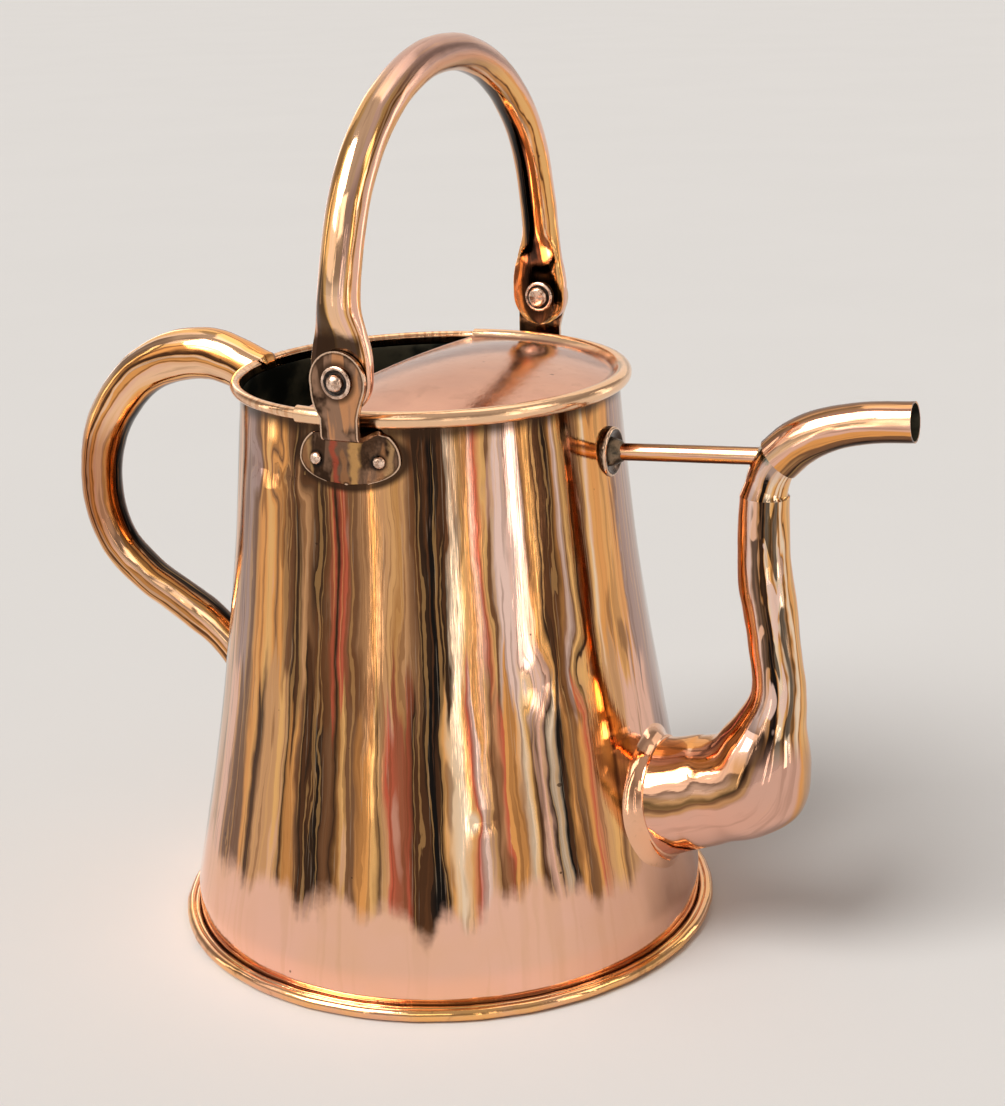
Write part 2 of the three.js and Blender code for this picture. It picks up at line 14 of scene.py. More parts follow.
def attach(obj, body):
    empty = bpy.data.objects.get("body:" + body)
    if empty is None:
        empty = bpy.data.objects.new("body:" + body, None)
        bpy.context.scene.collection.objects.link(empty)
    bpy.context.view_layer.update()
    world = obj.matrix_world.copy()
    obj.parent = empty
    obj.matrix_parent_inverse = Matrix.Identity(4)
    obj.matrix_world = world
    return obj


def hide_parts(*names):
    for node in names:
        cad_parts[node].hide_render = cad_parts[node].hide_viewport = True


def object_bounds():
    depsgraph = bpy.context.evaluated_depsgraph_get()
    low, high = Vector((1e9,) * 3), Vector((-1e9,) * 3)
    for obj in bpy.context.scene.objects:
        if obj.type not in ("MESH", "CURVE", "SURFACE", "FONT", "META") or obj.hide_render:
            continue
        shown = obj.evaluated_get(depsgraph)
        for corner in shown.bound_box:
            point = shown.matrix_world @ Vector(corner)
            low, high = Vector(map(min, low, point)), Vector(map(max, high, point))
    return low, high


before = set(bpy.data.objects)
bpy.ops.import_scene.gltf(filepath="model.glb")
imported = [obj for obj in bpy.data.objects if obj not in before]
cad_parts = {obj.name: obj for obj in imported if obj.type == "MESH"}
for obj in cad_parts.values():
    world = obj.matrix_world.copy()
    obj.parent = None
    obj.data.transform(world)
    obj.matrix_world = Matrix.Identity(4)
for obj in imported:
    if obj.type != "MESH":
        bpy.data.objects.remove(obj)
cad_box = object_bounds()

MM = 0.001
CREASE = 42    # degrees between faces from which an edge is sharp
EASED_RINGS = 8    # rings before a tube's cut end that move with it
ROUND = 320    # points round the body, the foot and the hood
POLE = 0.01    # radius at which a turned outline meets its axis

# Body and rim
SHEET = 1.0
GAP = 0.3
CONE_FOOT_R = 114.5
CONE_TOP_R = 78.2
CONE_WAIST = 4.6
FOOT_BAND_R = 110.8
RIM_Z = 235.7
RIM_R = 80.2
RIM_BEAD_R = 2.3
CURL_SHEET = 0.8
WALL_TOP_Z = RIM_Z - RIM_BEAD_R - 0.6
# Dents in the wall: angle round the can in degrees, height, radius and depth
WALL_DENTS = [
    (-118, 210, 7, 0.8), (-106, 212, 6, 0.7), (-54.5, 77, 3.2, 0.5), (-31, 128, 9, 0.5),
    (-97, 131, 8, 0.35), (35, 90, 10, 0.6), (120, 160, 12, 0.6), (-160, 70, 9, 0.6), (75, 190, 7, 0.5),
]
DEEP_DENTS = WALL_DENTS[:4]

# Foot
FOOT_R = 117.3
FOOT_HEIGHT = 5.2
FOOT_FOLD_R = FOOT_HEIGHT / 2
BASE_SHEET = 1.2
FOOT_LIP_R = 113.9
FLANGE_R = 115.3
FLANGE_LOW = 1.7
FLANGE_HIGH = 3.3

# Hood
HOOD_EDGE_X = -17
HOOD_SHEET = 0.8
HOOD_SEAT_Z = 235.3
HOOD_SEAT_R = 75.5
HOOD_RISE = 13.5
HOOD_RISE_RUN = 30
HOOD_HEM_SHARE = 0.18
HOOD_HEM_HALF = 73.6
HOOD_HEM_R = 0.72

# Bail and its pivots
PIVOT_X = 10.4
PIVOT_Z = 253.2
BAIL_LEAN = math.radians(1.1)
BAIL_END_Y = 90.5
BAIL_END_R = 12.5
BAIL_PLATE = 1.5
BAIL_SIDES = 64
PIVOT_SHANK_R = 2.8
PIVOT_HOLE_R = 3.2
# Half of the bail's centreline: y, height over the pivot, half width and half thickness
BAIL_LINE = [
    (90.5, 0, 12.5, 1.5), (90.5, 7, 12.3, 1.5), (90.5, 12.6, 11.4, 2.6), (90.5, 19, 10.0, 5.4),
    (90.6, 30, 8.3, 7.9), (87.4, 45, 8, 8), (80.6, 64.4, 7.9, 7.9), (70.6, 80, 7.9, 7.9),
    (55.6, 94, 7.8, 7.8), (38, 104.3, 7.6, 7.6), (18.6, 110.6, 7.5, 7.5),
]
BAIL_TOP = (0, 112.35, 7.45, 7.45)

# Ears
EAR_OUTER_Y = 94.4
EAR_THICK = 2.0
EAR_DISC_R = 11.7
EAR_NECK_FRONT = 18.2
EAR_NECK_Z = 239
EAR_WEB_LOW = 230.2
EAR_WEB_HIGH = 231.8
EAR_WEB_THICK = 1.7
EAR_BEND_R = 1.8
EAR_EDGE_R = 0.35
EAR_FLANGE_THICK = 1.5
EAR_FLANGE_X = 5
EAR_FLANGE_HALF = 21
EAR_FLANGE_LOW = 210
EAR_FLANGE_MIDDLE = 220
EAR_RIVET_Z = 219.3
EAR_RIVET_X = {"rear": -8.1, "front": 17.9}
EAR_NECK_REAR = {"right": 2.2, "left": -1.4}
SIDES = {"right": -1, "left": 1}
WASHER_THICK = 1.2
OUTER_WASHER_R = 6.2
INNER_WASHER_R = 6.5

# Tubes: x, z and diameter along each centreline, and on the lower spout its direction in degrees
TUBE_WALL = 1.0
HANDLE = [
    (-74, 226.5, 23), (-84, 230.6, 22.4), (-95, 235.2, 22), (-108, 237.8, 22.8),
    (-125, 235.7, 22.8), (-141, 228.8, 21.4), (-155, 216.6, 20.8), (-166.2, 199.5, 19.9),
    (-171.2, 179, 19.1), (-170.0, 160, 18.5), (-162.8, 144.4, 18.1), (-149, 132.2, 17.8),
    (-136, 124.6, 17.6), (-122.5, 116.8, 18.2), (-113.5, 110.6, 17.4), (-104.8, 102.4, 17.5),
    (-97.5, 92.5, 18), (-89.5, 80, 18.6),
]
LOWER_SPOUT = [
    (91, 61.2, 49.6, 10.5), (104, 62.8, 49.6, 11), (116, 66.3, 47.6, 15), (125, 69.6, 46.5, 27),
    (133.5, 72.3, 48, 41), (143.3, 78.8, 46.8, 54), (147.2, 90.5, 39.4, 67),
    (149.2, 102.8, 28.9, 80), (151.8, 117.4, 22.5, 88), (149.8, 136.8, 21.4, 94),
    (146.9, 157, 22.2, 96), (145.1, 176.2, 20.9, 92), (145.3, 197, 20.4, 88),
]
KNUCKLE = [
    (145, 187.5, 17.4), (145.4, 197, 17.4), (147.4, 206.2, 17.2), (151.4, 213, 17), (157, 218.2, 17),
]
NOZZLE = [
    (150.8, 212.4, 19.2), (157.6, 218.8, 19), (166, 223.8, 18), (176, 227.3, 16.8),
    (188, 229.6, 16.2), (203.6, 230.9, 16.1),
]
NOZZLE_WALL = 0.7
SPOUT_SIDES = 96
SPOUT_ROOT = (104, 0, 62.8)
ROOT_TILT = math.radians(10.5)
ROOT_ALONG = np.array([math.cos(ROOT_TILT), 0, math.sin(ROOT_TILT)])
ROOT_UP = np.array([-math.sin(ROOT_TILT), 0, math.cos(ROOT_TILT)])
COLLAR_BORE_R = 21.2
COLLAR_SLEEVE_R = 22.4
COLLAR_SLEEVE_REACH = 6
COLLAR_FOOT_R = 32.0
COLLAR_EDGE_R = 25.4
COLLAR_HEIGHT = 4.7
SOLDER_R = 0.8
STAY_R = 3.55
STAY_FROM = (82.8, 209.6)
STAY_TO = (146, 212.9)
STAY_FLANGE_R = 10.3
STAY_FLANGE_BACK_X = 78.6
STAY_FLANGE_FACE_X = 82.3


def wall_radius(z):
    """The wall's outer radius at a height."""
    k = np.asarray(z, float) / RIM_Z
    cone = CONE_FOOT_R + (CONE_TOP_R - CONE_FOOT_R) * k - 4 * CONE_WAIST * k * (1 - k)
    return np.minimum(FOOT_BAND_R, cone)


def on_wall(degrees, z):
    """The point of the wall at an angle round the can and a height."""
    a, r = math.radians(degrees), float(wall_radius(z))
    return np.array([r * math.cos(a), r * math.sin(a), z])


def outside_wall(points):
    """How far points are outside the wall, measured level."""
    return np.hypot(points[..., 0], points[..., 1]) - wall_radius(points[..., 2])


# Camera: the photograph's view, as azimuth about the can, height and three small turns
CAMERA_DISTANCE = 823.1
CAMERA_HEIGHT = 414.65
CAMERA_AZIMUTH = math.radians(27.6146)
CAMERA_PAN = 0.03385
CAMERA_PITCH = 0.30335
CAMERA_ROLL = -0.03097
CAMERA_LENS = 65.85
CAMERA_SENSOR = 36


def make_camera():
    """The camera that took the photograph."""
    turn = Matrix.Rotation(CAMERA_AZIMUTH, 3, "Z")
    pan, pitch, roll = CAMERA_PAN, CAMERA_PITCH, CAMERA_ROLL
    ahead = Vector((math.sin(pan) * math.cos(pitch), math.cos(pan) * math.cos(pitch), -math.sin(pitch)))
    level = Vector((math.cos(pan), -math.sin(pan), 0))
    above = level.cross(ahead)
    right = level * math.cos(roll) + above * math.sin(roll)
    up = above * math.cos(roll) - level * math.sin(roll)
    axes = Matrix((turn @ right, turn @ up, -(turn @ ahead))).transposed()
    data = bpy.data.cameras.new("camera")
    data.lens, data.sensor_width = CAMERA_LENS, CAMERA_SENSOR
    data.clip_start, data.clip_end = 0.01, 100
    camera = bpy.data.objects.new("camera", data)
    bpy.context.scene.collection.objects.link(camera)
    place = turn @ Vector((0, -CAMERA_DISTANCE, CAMERA_HEIGHT)) * MM
    camera.matrix_world = Matrix.Translation(place) @ axes.to_4x4()
    bpy.context.scene.camera = camera


# Shapes


def lumps(points, size, shift=0.0):
    """Smooth noise from about -1 to 1 at points, its lumps of that size along each axis."""
    flat = (np.asarray(points, float) / np.asarray(size, float) + shift).reshape(-1, 3)
    values = [noise.noise(Vector(p)) for p in flat]
    return np.array(values).reshape(np.shape(points)[:-1])


def eased(value, start, run):
    """From 0 to 1 as a value goes on from start over a run."""
    return np.clip((value - start) / run, 0, 1)


def unit(v):
    return v / np.linalg.norm(v, axis=-1, keepdims=True)


def angles(count):
    return 2 * np.pi * np.arange(count) / count


def circle(count, first, second):
    """Points round a circle, from the first direction towards the second."""
    a = angles(count)[:, None]
    return np.cos(a) * np.asarray(first) + np.sin(a) * np.asarray(second)


def smooth_line(stations, per_step):
    """Rows of an even Catmull-Rom curve through rows of numbers."""
    rows = np.array(stations, float)
    framed = np.vstack([2 * rows[0] - rows[1], rows, 2 * rows[-1] - rows[-2]])
    t = (np.arange(per_step) / per_step)[:, None]
    made = []
    for a, b, c, d in zip(framed, framed[1:], framed[2:], framed[3:]):
        made.append(0.5 * (2 * b + (c - a) * t + (2 * a - 5 * b + 4 * c - d) * t**2
                           + (3 * b - a - 3 * c + d) * t**3))
    return np.vstack([*made, rows[-1:]])


def tube_rings(line, sides, grow=0.0, dents=None):
    """Rings of a tube in the XZ plane along rows of x, z, diameter and maybe direction.

    dents is a function of the surface points and the angles round the tube. It gives how far each moves out.
    """
    centre = np.c_[line[:, 0], np.zeros(len(line)), line[:, 1]]
    along = unit(np.gradient(centre, axis=0))
    if line.shape[1] > 3:
        tilt = np.radians(line[:, 3])
        along = np.c_[np.cos(tilt), np.zeros(len(line)), np.sin(tilt)]
    across = np.c_[-along[:, 2], np.zeros(len(line)), along[:, 0]]
    out = circle(sides, across[:, None], (0, 1, 0))
    rings = centre[:, None] + (line[:, 2] / 2)[:, None, None] * out
    if dents:
        rings = rings + dents(rings, angles(sides))[..., None] * out
    return rings + grow * out


def on_line(rings, j, s):
    """The point on a tube's long line j, at s rings from its start."""
    k = min(int(s), len(rings) - 2)
    return rings[k, j] * (1 - (s - k)) + rings[k + 1, j] * (s - k)


def trimmed(rings, inside):
    """The same rings with their far end cut where each long line of the tube goes inside a shape."""
    count, sides = rings.shape[:2]
    half = count // 2
    hidden = inside(rings)[half:]
    cut = np.full(sides, count - 1.0)
    for j in np.flatnonzero(hidden.any(axis=0)):
        high = half + float(np.flatnonzero(hidden[:, j])[0])
        low = high - 1
        for _ in range(12):
            middle = (low + high) / 2
            if inside(on_line(rings, j, middle)[None])[0]:
                high = middle
            else:
                low = middle
        cut[j] = low
    start = max(int(cut.min()) - EASED_RINGS, 0)
    made = rings.copy()
    for i in range(start, count):
        share = (i - start) / (count - 1 - start)
        for j in range(sides):
            made[i, j] = on_line(rings, j, start + share * (cut[j] - start))
    return made


def grid_faces(rows, columns, rows_close=False, columns_close=True):
    """The faces between rows and columns of points."""
    faces = []
    for i in range(rows if rows_close else rows - 1):
        for j in range(columns if columns_close else columns - 1):
            here, above = i * columns, (i + 1) % rows * columns
            beside = (j + 1) % columns
            faces.append((here + j, here + beside, above + beside, above + j))
    return faces


def capped(rings):
    """Points and faces of a closed solid through rings, with a fan at each end."""
    rows, columns = rings.shape[:2]
    faces = grid_faces(rows, columns)
    first, last = rows * columns, rows * columns + 1
    for j in range(columns):
        k = (j + 1) % columns
        faces += [(first, k, j), (last, first - columns + j, first - columns + k)]
    return np.vstack([rings.reshape(-1, 3), rings[0].mean(axis=0), rings[-1].mean(axis=0)]), faces


def skin_of(rings):
    """Where each point of a tube is on its skin: round it as a circle, and along it in centimetres."""
    steps = np.linalg.norm(np.diff(rings.mean(axis=1), axis=0), axis=1)
    length = np.r_[0, np.cumsum(steps)] / 10
    return circle(rings.shape[1], (1, 0, 0), (0, 1, 0)) + length[:, None, None] * np.array([0, 0, 1])


def add_mesh(name, points, faces, finishes, face_finish=None, skin=None, crease=CREASE):
    """A mesh object from points in millimetres, with its finishes and smooth shading."""
    mesh = bpy.data.meshes.new(name)
    mesh.from_pydata((np.asarray(points, float).reshape(-1, 3) * MM).tolist(), [], faces)
    for finish in finishes:
        mesh.materials.append(FINISH[finish])
    if face_finish is not None:
        mesh.polygons.foreach_set("material_index", np.asarray(face_finish, np.int32))
    if skin is not None:
        held = mesh.attributes.new("skin", "FLOAT_VECTOR", "POINT")
        held.data.foreach_set("vector", np.asarray(skin, np.float32).ravel())
    tidy = bmesh.new()
    tidy.from_mesh(mesh)
    bmesh.ops.recalc_face_normals(tidy, faces=tidy.faces)
    tidy.to_mesh(mesh)
    tidy.free()
    mesh.shade_smooth()
    mesh.set_sharp_from_angle(angle=math.radians(crease))
    piece = bpy.data.objects.new(name, mesh)
    bpy.context.scene.collection.objects.link(piece)
    return piece


def add_shell(name, outer, inner, finish, lining="inner"):
    """A tube with a wall: its outer rings, then its inner rings back, closed at both lips."""
    rings = np.concatenate([outer, inner[::-1]])
    faces = grid_faces(len(rings), rings.shape[1], rows_close=True)
    inside = np.arange(len(faces)) // rings.shape[1] >= len(outer)
    skin = np.concatenate([skin_of(outer), skin_of(outer)[::-1][-len(inner):]])
    return add_mesh(name, rings, faces, [finish, lining], inside, skin)


def add_solid(name, rings, finish, skin=None, crease=CREASE):
    """A closed solid through rings."""
    points, faces = capped(rings)
    skin = (skin_of(rings) if skin is None else skin).reshape(-1, 3)
    return add_mesh(name, points, faces, [finish], None, np.vstack([skin, np.zeros((2, 3))]), crease)


def add_fillet(name, ring):
    """A round bead of solder laid along a closed ring of points."""
    along = unit(np.roll(ring, -1, axis=0) - np.roll(ring, 1, axis=0))
    out = unit(ring - ring.mean(axis=0))
    side = unit(np.cross(along, out))
    size = SOLDER_R * (1 + 0.3 * lumps(ring, 6.0))[:, None, None]
    rings = ring[:, None] + size * circle(10, out[:, None], side[:, None])
    return add_mesh(name, rings, grid_faces(len(ring), 10, rows_close=True), ["solder"])


def turned_rings(outline, steps, at=(0, 0, 0), axis=(0, 0, 1), dents=None):
    """Rings of a turned shape: one for each [radius, height] of the outline, about an axis."""
    line = unit(np.array(axis, float))
    side = unit(np.cross(line, [0, 1, 0] if abs(line[1]) < 0.9 else [1, 0, 0]))
    out = circle(steps, side, np.cross(line, side))
    outline = np.array(outline, float)
    rings = np.array(at) + outline[:, 0, None, None] * out + outline[:, 1, None, None] * line
    if dents:
        rings = rings + dents(rings)[..., None] * out
    return rings


def arc(centre, radius, start, end, steps):
    """Points of an arc, from one angle in degrees to another."""
    turn = np.radians(np.linspace(start, end, steps + 1))
    return np.c_[centre[0] + radius * np.cos(turn), centre[1] + radius * np.sin(turn)].tolist()


def take(piece, slot, *nodes, body="can"):
    """The piece rides on a body and stands for CAD nodes. The slot is not used."""
    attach(piece, body)
    if nodes:
        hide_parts(*nodes)


def cut_with(piece, points, faces):
    """Cuts a closed mesh out of a piece."""
    tool = add_mesh("cutter", points, faces, [])
    change = piece.modifiers.new("cut", "BOOLEAN")
    change.operation, change.solver, change.object = "DIFFERENCE", "EXACT", tool
    graph = bpy.context.evaluated_depsgraph_get()
    made = bpy.data.meshes.new_from_object(piece.evaluated_get(graph), depsgraph=graph)
    piece.modifiers.clear()
    piece.data = made
    made.set_sharp_from_angle(angle=math.radians(CREASE))
    bpy.data.objects.remove(tool)


# Finishes


class Value:
    """A number or a colour that a node tree works out, with the usual sums."""

    def __init__(self, nodes, socket):
        self.nodes, self.socket = nodes, socket

    def __add__(self, other):
        return self.nodes.math("ADD", self, other)

    def __sub__(self, other):
        return self.nodes.math("SUBTRACT", self, other)

    def __mul__(self, other):
        return self.nodes.math("MULTIPLY", self, other)

    def __truediv__(self, other):
        return self.nodes.math("DIVIDE", self, other)

    def __pow__(self, other):
        return self.nodes.math("POWER", self, other)

    def __lt__(self, other):
        return self.nodes.math("LESS_THAN", self, other)

    def __gt__(self, other):
        return self.nodes.math("GREATER_THAN", self, other)

    def __abs__(self):
        return self.nodes.math("ABSOLUTE", self)

    def swing(self, width):
        """Noise made into a number that swings about nothing, over a width."""
        return (self - 0.5) * width

    def smooth(self, low, high, at_low, at_high):
        """A number that goes smoothly from one end to the other while the value goes from low to high."""
        inputs = {"Value": self, "From Min": low, "From Max": high, "To Min": at_low, "To Max": at_high}
        return self.nodes.node("ShaderNodeMapRange", inputs, interpolation_type="SMOOTHSTEP")

    def rise(self, low, high, top=1.0):
        return self.smooth(low, high, 0.0, top)

    def fall(self, low, high, top=1.0):
        return self.smooth(low, high, top, 0.0)


class Nodes:
    """A node tree being made: short ways to add and join its nodes."""

    def __init__(self, tree):
        self.tree = tree

    def join(self, value, socket):
        """Links a worked out value to a socket, or sets the socket to a plain one."""
        if isinstance(value, Value):
            self.tree.links.new(value.socket, socket)
        else:
            socket.default_value = (*value, 1.0) if socket.type == "RGBA" else value

    def node(self, kind, inputs=(), output=0, **settings):
        """A new node's output, its inputs given by name or number."""
        made = self.tree.nodes.new(kind)
        for name, value in settings.items():
            setattr(made, name, value)
        for name, value in dict(inputs).items():
            self.join(value, made.inputs[name])
        return Value(self, made.outputs[output])

    def math(self, operation, *values):
        return self.node("ShaderNodeMath", enumerate(values), operation=operation)

    def vector(self, *values):
        return self.node("ShaderNodeCombineXYZ", enumerate(values))

    def split(self, vector):
        parts = self.node("ShaderNodeSeparateXYZ", {"Vector": vector}).socket.node
        return [Value(self, socket) for socket in parts.outputs]

    def noise(self, place, scale, detail=2.0, rough=0.5, distort=0.0):
        inputs = {"Vector": place, "Scale": scale, "Detail": detail, "Roughness": rough,
                  "Distortion": distort}
        return self.node("ShaderNodeTexNoise", inputs, "Fac")

    def mix(self, share, first, second, blend="MIX"):
        inputs = {"Factor": share, 6: first, 7: second}
        return self.node("ShaderNodeMix", inputs, 2, data_type="RGBA", blend_type=blend)

    def ramp(self, share, stops, kind="LINEAR"):
        made = self.node("ShaderNodeValToRGB", {"Fac": share})
        held = made.socket.node.color_ramp
        held.interpolation = kind
        while len(held.elements) < len(stops):
            held.elements.new(0.5)
        for element, (place, tone) in zip(held.elements, stops):
            element.position, element.color = place, (*tone, 1.0)
        return made


class Finish(Nodes):
    """A material being made. Its base colour starts as one tone, and others are laid over it."""

    def __init__(self, name):
        self.material = bpy.data.materials.new(name)
        self.material.use_nodes = True
        super().__init__(self.material.node_tree)
        self.shader = self.tree.nodes["Principled BSDF"]
        self.place = self.node("ShaderNodeTexCoord", output="Object")
        self.skin = self.node("ShaderNodeAttribute", output="Vector", attribute_name="skin")
        self.x, self.y, self.z = self.split(self.place)

    def radius(self):
        return (self.x * self.x + self.y * self.y) ** 0.5

    def reach(self, x, z, wide=1.0, tall=1.0):
        """How far a place is from x and z, where wide across or tall upwards counts as 1."""
        across, up = (self.x - x * MM) / wide, (self.z - z * MM) / tall
        return (across * across + up * up) ** 0.5

    def lay(self, tone, share):
        """Lays a tone over the base colour."""
        self.base = self.mix(share, self.base, tone)

    def speckle(self, scale=300.0, low=0.79, share=0.7):
        """Lays small dark specks."""
        self.lay(DARK, self.noise(self.place, scale, 1.0, 0.4).rise(low, low + 0.04, share))

    def bump(self, height, strength, depth):
        inputs = {"Height": height, "Strength": strength, "Distance": depth}
        self.set(Normal=self.node("ShaderNodeBump", inputs))

    def set(self, **inputs):
        """Sets the shader's inputs and gives the material."""
        for name, value in inputs.items():
            self.join(value, self.shader.inputs[name.replace("_", " ")])
        return self.material

    def done(self, rough, metal=1.0):
        return self.set(Base_Color=self.base, Metallic=metal, Roughness=rough)


# Tones of copper, from clean metal to brown and black oxide; the bands below also use them as painted
# reflections and highlights
ROSE = (0.92, 0.53, 0.39)
CLEAN = (0.95, 0.56, 0.38)
PALE = (1.0, 0.77, 0.55)
CREAM = (1.0, 0.63, 0.39)
PINK = (0.99, 0.70, 0.60)
GOLD = (0.94, 0.52, 0.19)
AMBER = (0.90, 0.40, 0.12)
TAN = (0.70, 0.37, 0.17)
MAUVE = (0.44, 0.28, 0.24)
RED = (0.66, 0.13, 0.07)
BROWN = (0.24, 0.115, 0.055)
UMBER = (0.17, 0.066, 0.026)
DARK = (0.050, 0.026, 0.015)
BLACK = (0.012, 0.010, 0.009)
VERDIGRIS = (0.16, 0.26, 0.20)
RIM_TONE = (0.97, 0.62, 0.38)

# The wall's painted reflections: where each band of tone starts, in degrees round the can, above and below
# its waist
UPPER_REFLECTION_BANDS = [
    (-180, TAN), (-171, BROWN), (-163, GOLD), (-155, TAN), (-148, DARK), (-143, AMBER), (-137, TAN),
    (-132, MAUVE), (-124, BROWN), (-121, AMBER), (-115.5, GOLD), (-112.5, BROWN), (-110, AMBER),
    (-107.5, BROWN), (-105, DARK), (-101, TAN), (-98.5, BROWN), (-97, DARK), (-94, BROWN), (-92, RED),
    (-90.5, DARK), (-89.5, RED), (-87, BROWN), (-84, TAN), (-81, AMBER), (-79, TAN), (-74.5, GOLD),
    (-73.3, DARK), (-72, TAN), (-70.5, BROWN), (-68, DARK), (-65, BLACK), (-62.5, DARK), (-59.6, PALE),
    (-57.4, GOLD), (-55.6, PALE), (-54.8, BROWN), (-53.4, ROSE), (-51.6, RED), (-50.3, GOLD),
    (-48.6, BROWN), (-47, PINK), (-43.2, ROSE), (-42.2, PINK), (-38.5, BROWN), (-36.5, GOLD), (-35, DARK),
    (-30.5, BLACK), (-28, PINK), (-25.8, BROWN), (-24.6, GOLD), (-23, DARK), (-21.5, BROWN), (-18, GOLD),
    (-16, PALE), (-15, DARK), (-14.4, AMBER), (-9, (0.96, 0.47, 0.15)), (-4.5, AMBER), (-1, BROWN),
    (0, MAUVE), (16, BROWN), (24, MAUVE), (31, BROWN), (38, GOLD), (44, DARK), (52, ROSE), (60, TAN),
    (66, DARK), (74, BROWN), (80, GOLD), (88, TAN), (95, BROWN), (99, DARK), (108, ROSE), (116, GOLD),
    (121, BROWN), (128, TAN), (136, DARK), (142, AMBER), (149, ROSE), (158, TAN), (164, DARK),
    (170, BROWN), (175, TAN),
]
LOWER_REFLECTION_BANDS = [
    (-180, TAN), (-170, BROWN), (-160, GOLD), (-152, DARK), (-144, TAN), (-135, ROSE), (-128, BROWN),
    (-119.5, GOLD), (-118, DARK), (-115, TAN), (-108, GOLD), (-106.5, TAN), (-104.5, DARK), (-103, AMBER),
    (-100.5, BROWN), (-99, DARK), (-95, BLACK), (-93, BROWN), (-91, DARK), (-88.4, GOLD), (-86.5, BROWN),
    (-84, AMBER), (-81, GOLD), (-79.8, DARK), (-78.5, TAN), (-76.5, RED), (-74.5, BROWN), (-73, RED),
    (-71.5, DARK), (-67, BLACK), (-64, DARK), (-62, GOLD), (-60.6, PALE), (-58.4, GOLD), (-57.4, RED),
    (-55.6, PINK), (-53.5, TAN), (-51.5, BROWN), (-50.2, TAN), (-49, RED), (-47.5, AMBER), (-46, BROWN),
    (-45, PALE), (-42.6, GOLD), (-41.2, DARK), (-39, ROSE), (-37.2, DARK), (-35.6, PALE), (-34.6, BLACK),
    (-32, AMBER), (-30, BROWN), (-28, AMBER), (-25.6, RED), (-24, TAN), (-21.5, GOLD), (-19.5, BROWN),
    (-17.5, TAN), (-10, ROSE), (4, MAUVE), (20, BROWN), (24, MAUVE), (32, GOLD), (39, DARK), (46, TAN),
    (55, ROSE), (62, BROWN), (70, DARK), (78, TAN), (86, GOLD), (93, DARK), (100, BROWN), (109, TAN),
    (117, ROSE), (124, DARK), (131, BROWN), (139, GOLD), (147, TAN), (154, DARK), (161, BROWN),
    (170, ROSE), (176, TAN),
]
# The tubes' painted reflections and highlights: where each band starts, in degrees round the tube
HANDLE_REFLECTION_BANDS = [
    (-180, AMBER), (-171, DARK), (-167, GOLD), (-156, CREAM), (-128, GOLD), (-119, UMBER), (-115, AMBER),
    (-108, UMBER), (-103, DARK), (-99, CREAM), (-92, AMBER), (-84, UMBER), (-80, CLEAN), (-72, CREAM),
    (-50, GOLD), (-44, AMBER), (-38, UMBER), (-33, AMBER), (-24, BROWN), (-16, BLACK), (16, BROWN),
    (45, DARK), (80, TAN), (110, BROWN), (130, GOLD), (150, UMBER), (165, AMBER),
]
BAIL_REFLECTION_BANDS = [
    (-180, AMBER), (-160, TAN), (-150, AMBER), (-132, BROWN), (-122, BLACK), (-92, DARK), (-78, AMBER),
    (-68, GOLD), (-60, CREAM), (-52, AMBER), (-44, UMBER), (-40, GOLD), (-20, AMBER), (-8, ROSE),
    (15, CLEAN), (20, UMBER), (25, CREAM), (31, UMBER), (35, GOLD), (44, (1.0, 0.62, 0.47)), (60, CREAM),
    (92, GOLD), (108, (1.0, 0.52, 0.18)), (124, CREAM), (134, ROSE), (152, AMBER), (166, TAN),
]
BAIL_TOP_REFLECTION_BANDS = [
    (-180, (0.50, 0.30, 0.24)), (-140, BROWN), (-100, MAUVE), (-60, BROWN), (-30, (0.70, 0.34, 0.20)),
    (0, (0.56, 0.34, 0.28)), (60, (0.62, 0.38, 0.31)), (112, (0.80, 0.50, 0.37)), (150, MAUVE),
]
RISER_REFLECTION_BANDS = [
    (-180, GOLD), (-163, AMBER), (-158, BLACK), (-154, PALE), (-145, DARK), (-141, PALE), (-129, BLACK),
    (-126, GOLD), (-121, PALE), (-110, BLACK), (-95, TAN), (-90, CLEAN), (-78, PINK), (-62, ROSE),
    (-52, DARK), (-47, AMBER), (-36, RED), (-28, AMBER), (0, BROWN), (40, TAN), (90, BROWN), (140, TAN),
    (158, BROWN), (166, AMBER),
]
ELBOW_REFLECTION_BANDS = [
    (-180, TAN), (-164, AMBER), (-158, (0.80, 0.46, 0.35)), (-92, TAN), (-86, BROWN), (-81, DARK),
    (-76, TAN), (-70, CLEAN), (-52, CREAM), (-34, CLEAN), (-20, AMBER), (34, TAN), (60, ROSE), (160, TAN),
]
NOZZLE_REFLECTION_BANDS = [
    (-180, TAN), (-170, BROWN), (-152, DARK), (-136, BROWN), (-116, AMBER), (-102, ROSE), (-84, CREAM),
    (-66, (0.80, 0.43, 0.28)), (-38, TAN), (-22, BROWN), (-12, UMBER), (12, AMBER), (60, ROSE),
    (130, TAN), (160, BROWN),
]
# Bright stripes of painted reflection across an ear's flange: from and to in metres along X, and tone
EAR_REFLECTION_STRIPES = [
    (-0.0128, -0.0114, (0.50, 0.28, 0.12)), (-0.0006, 0.0016, (0.46, 0.09, 0.05)),
    (0.0072, 0.0104, (0.66, 0.36, 0.13)), (0.0212, 0.0232, (0.55, 0.32, 0.15)),
]
RAMP_SPANS = 10    # a ramp node holds 32 stops, and a span takes up to 3

# Heights in metres over which the wall's finish changes: painted floor reflection at the foot, waist, darker
# band under the rim, and rim
FLOOR_REFLECTION_EDGE = (0.036, 0.048)
WAIST_EDGE = (0.118, 0.130)
UNDER_RIM_DARK_EDGE = (0.2255, 0.2315)
RIM_EDGE = (0.2331, 0.2340)
# How far out the bail's and the ears' inner faces are, in metres
BAIL_INNER_Y = 0.0893
EAR_INNER_Y = 0.0928


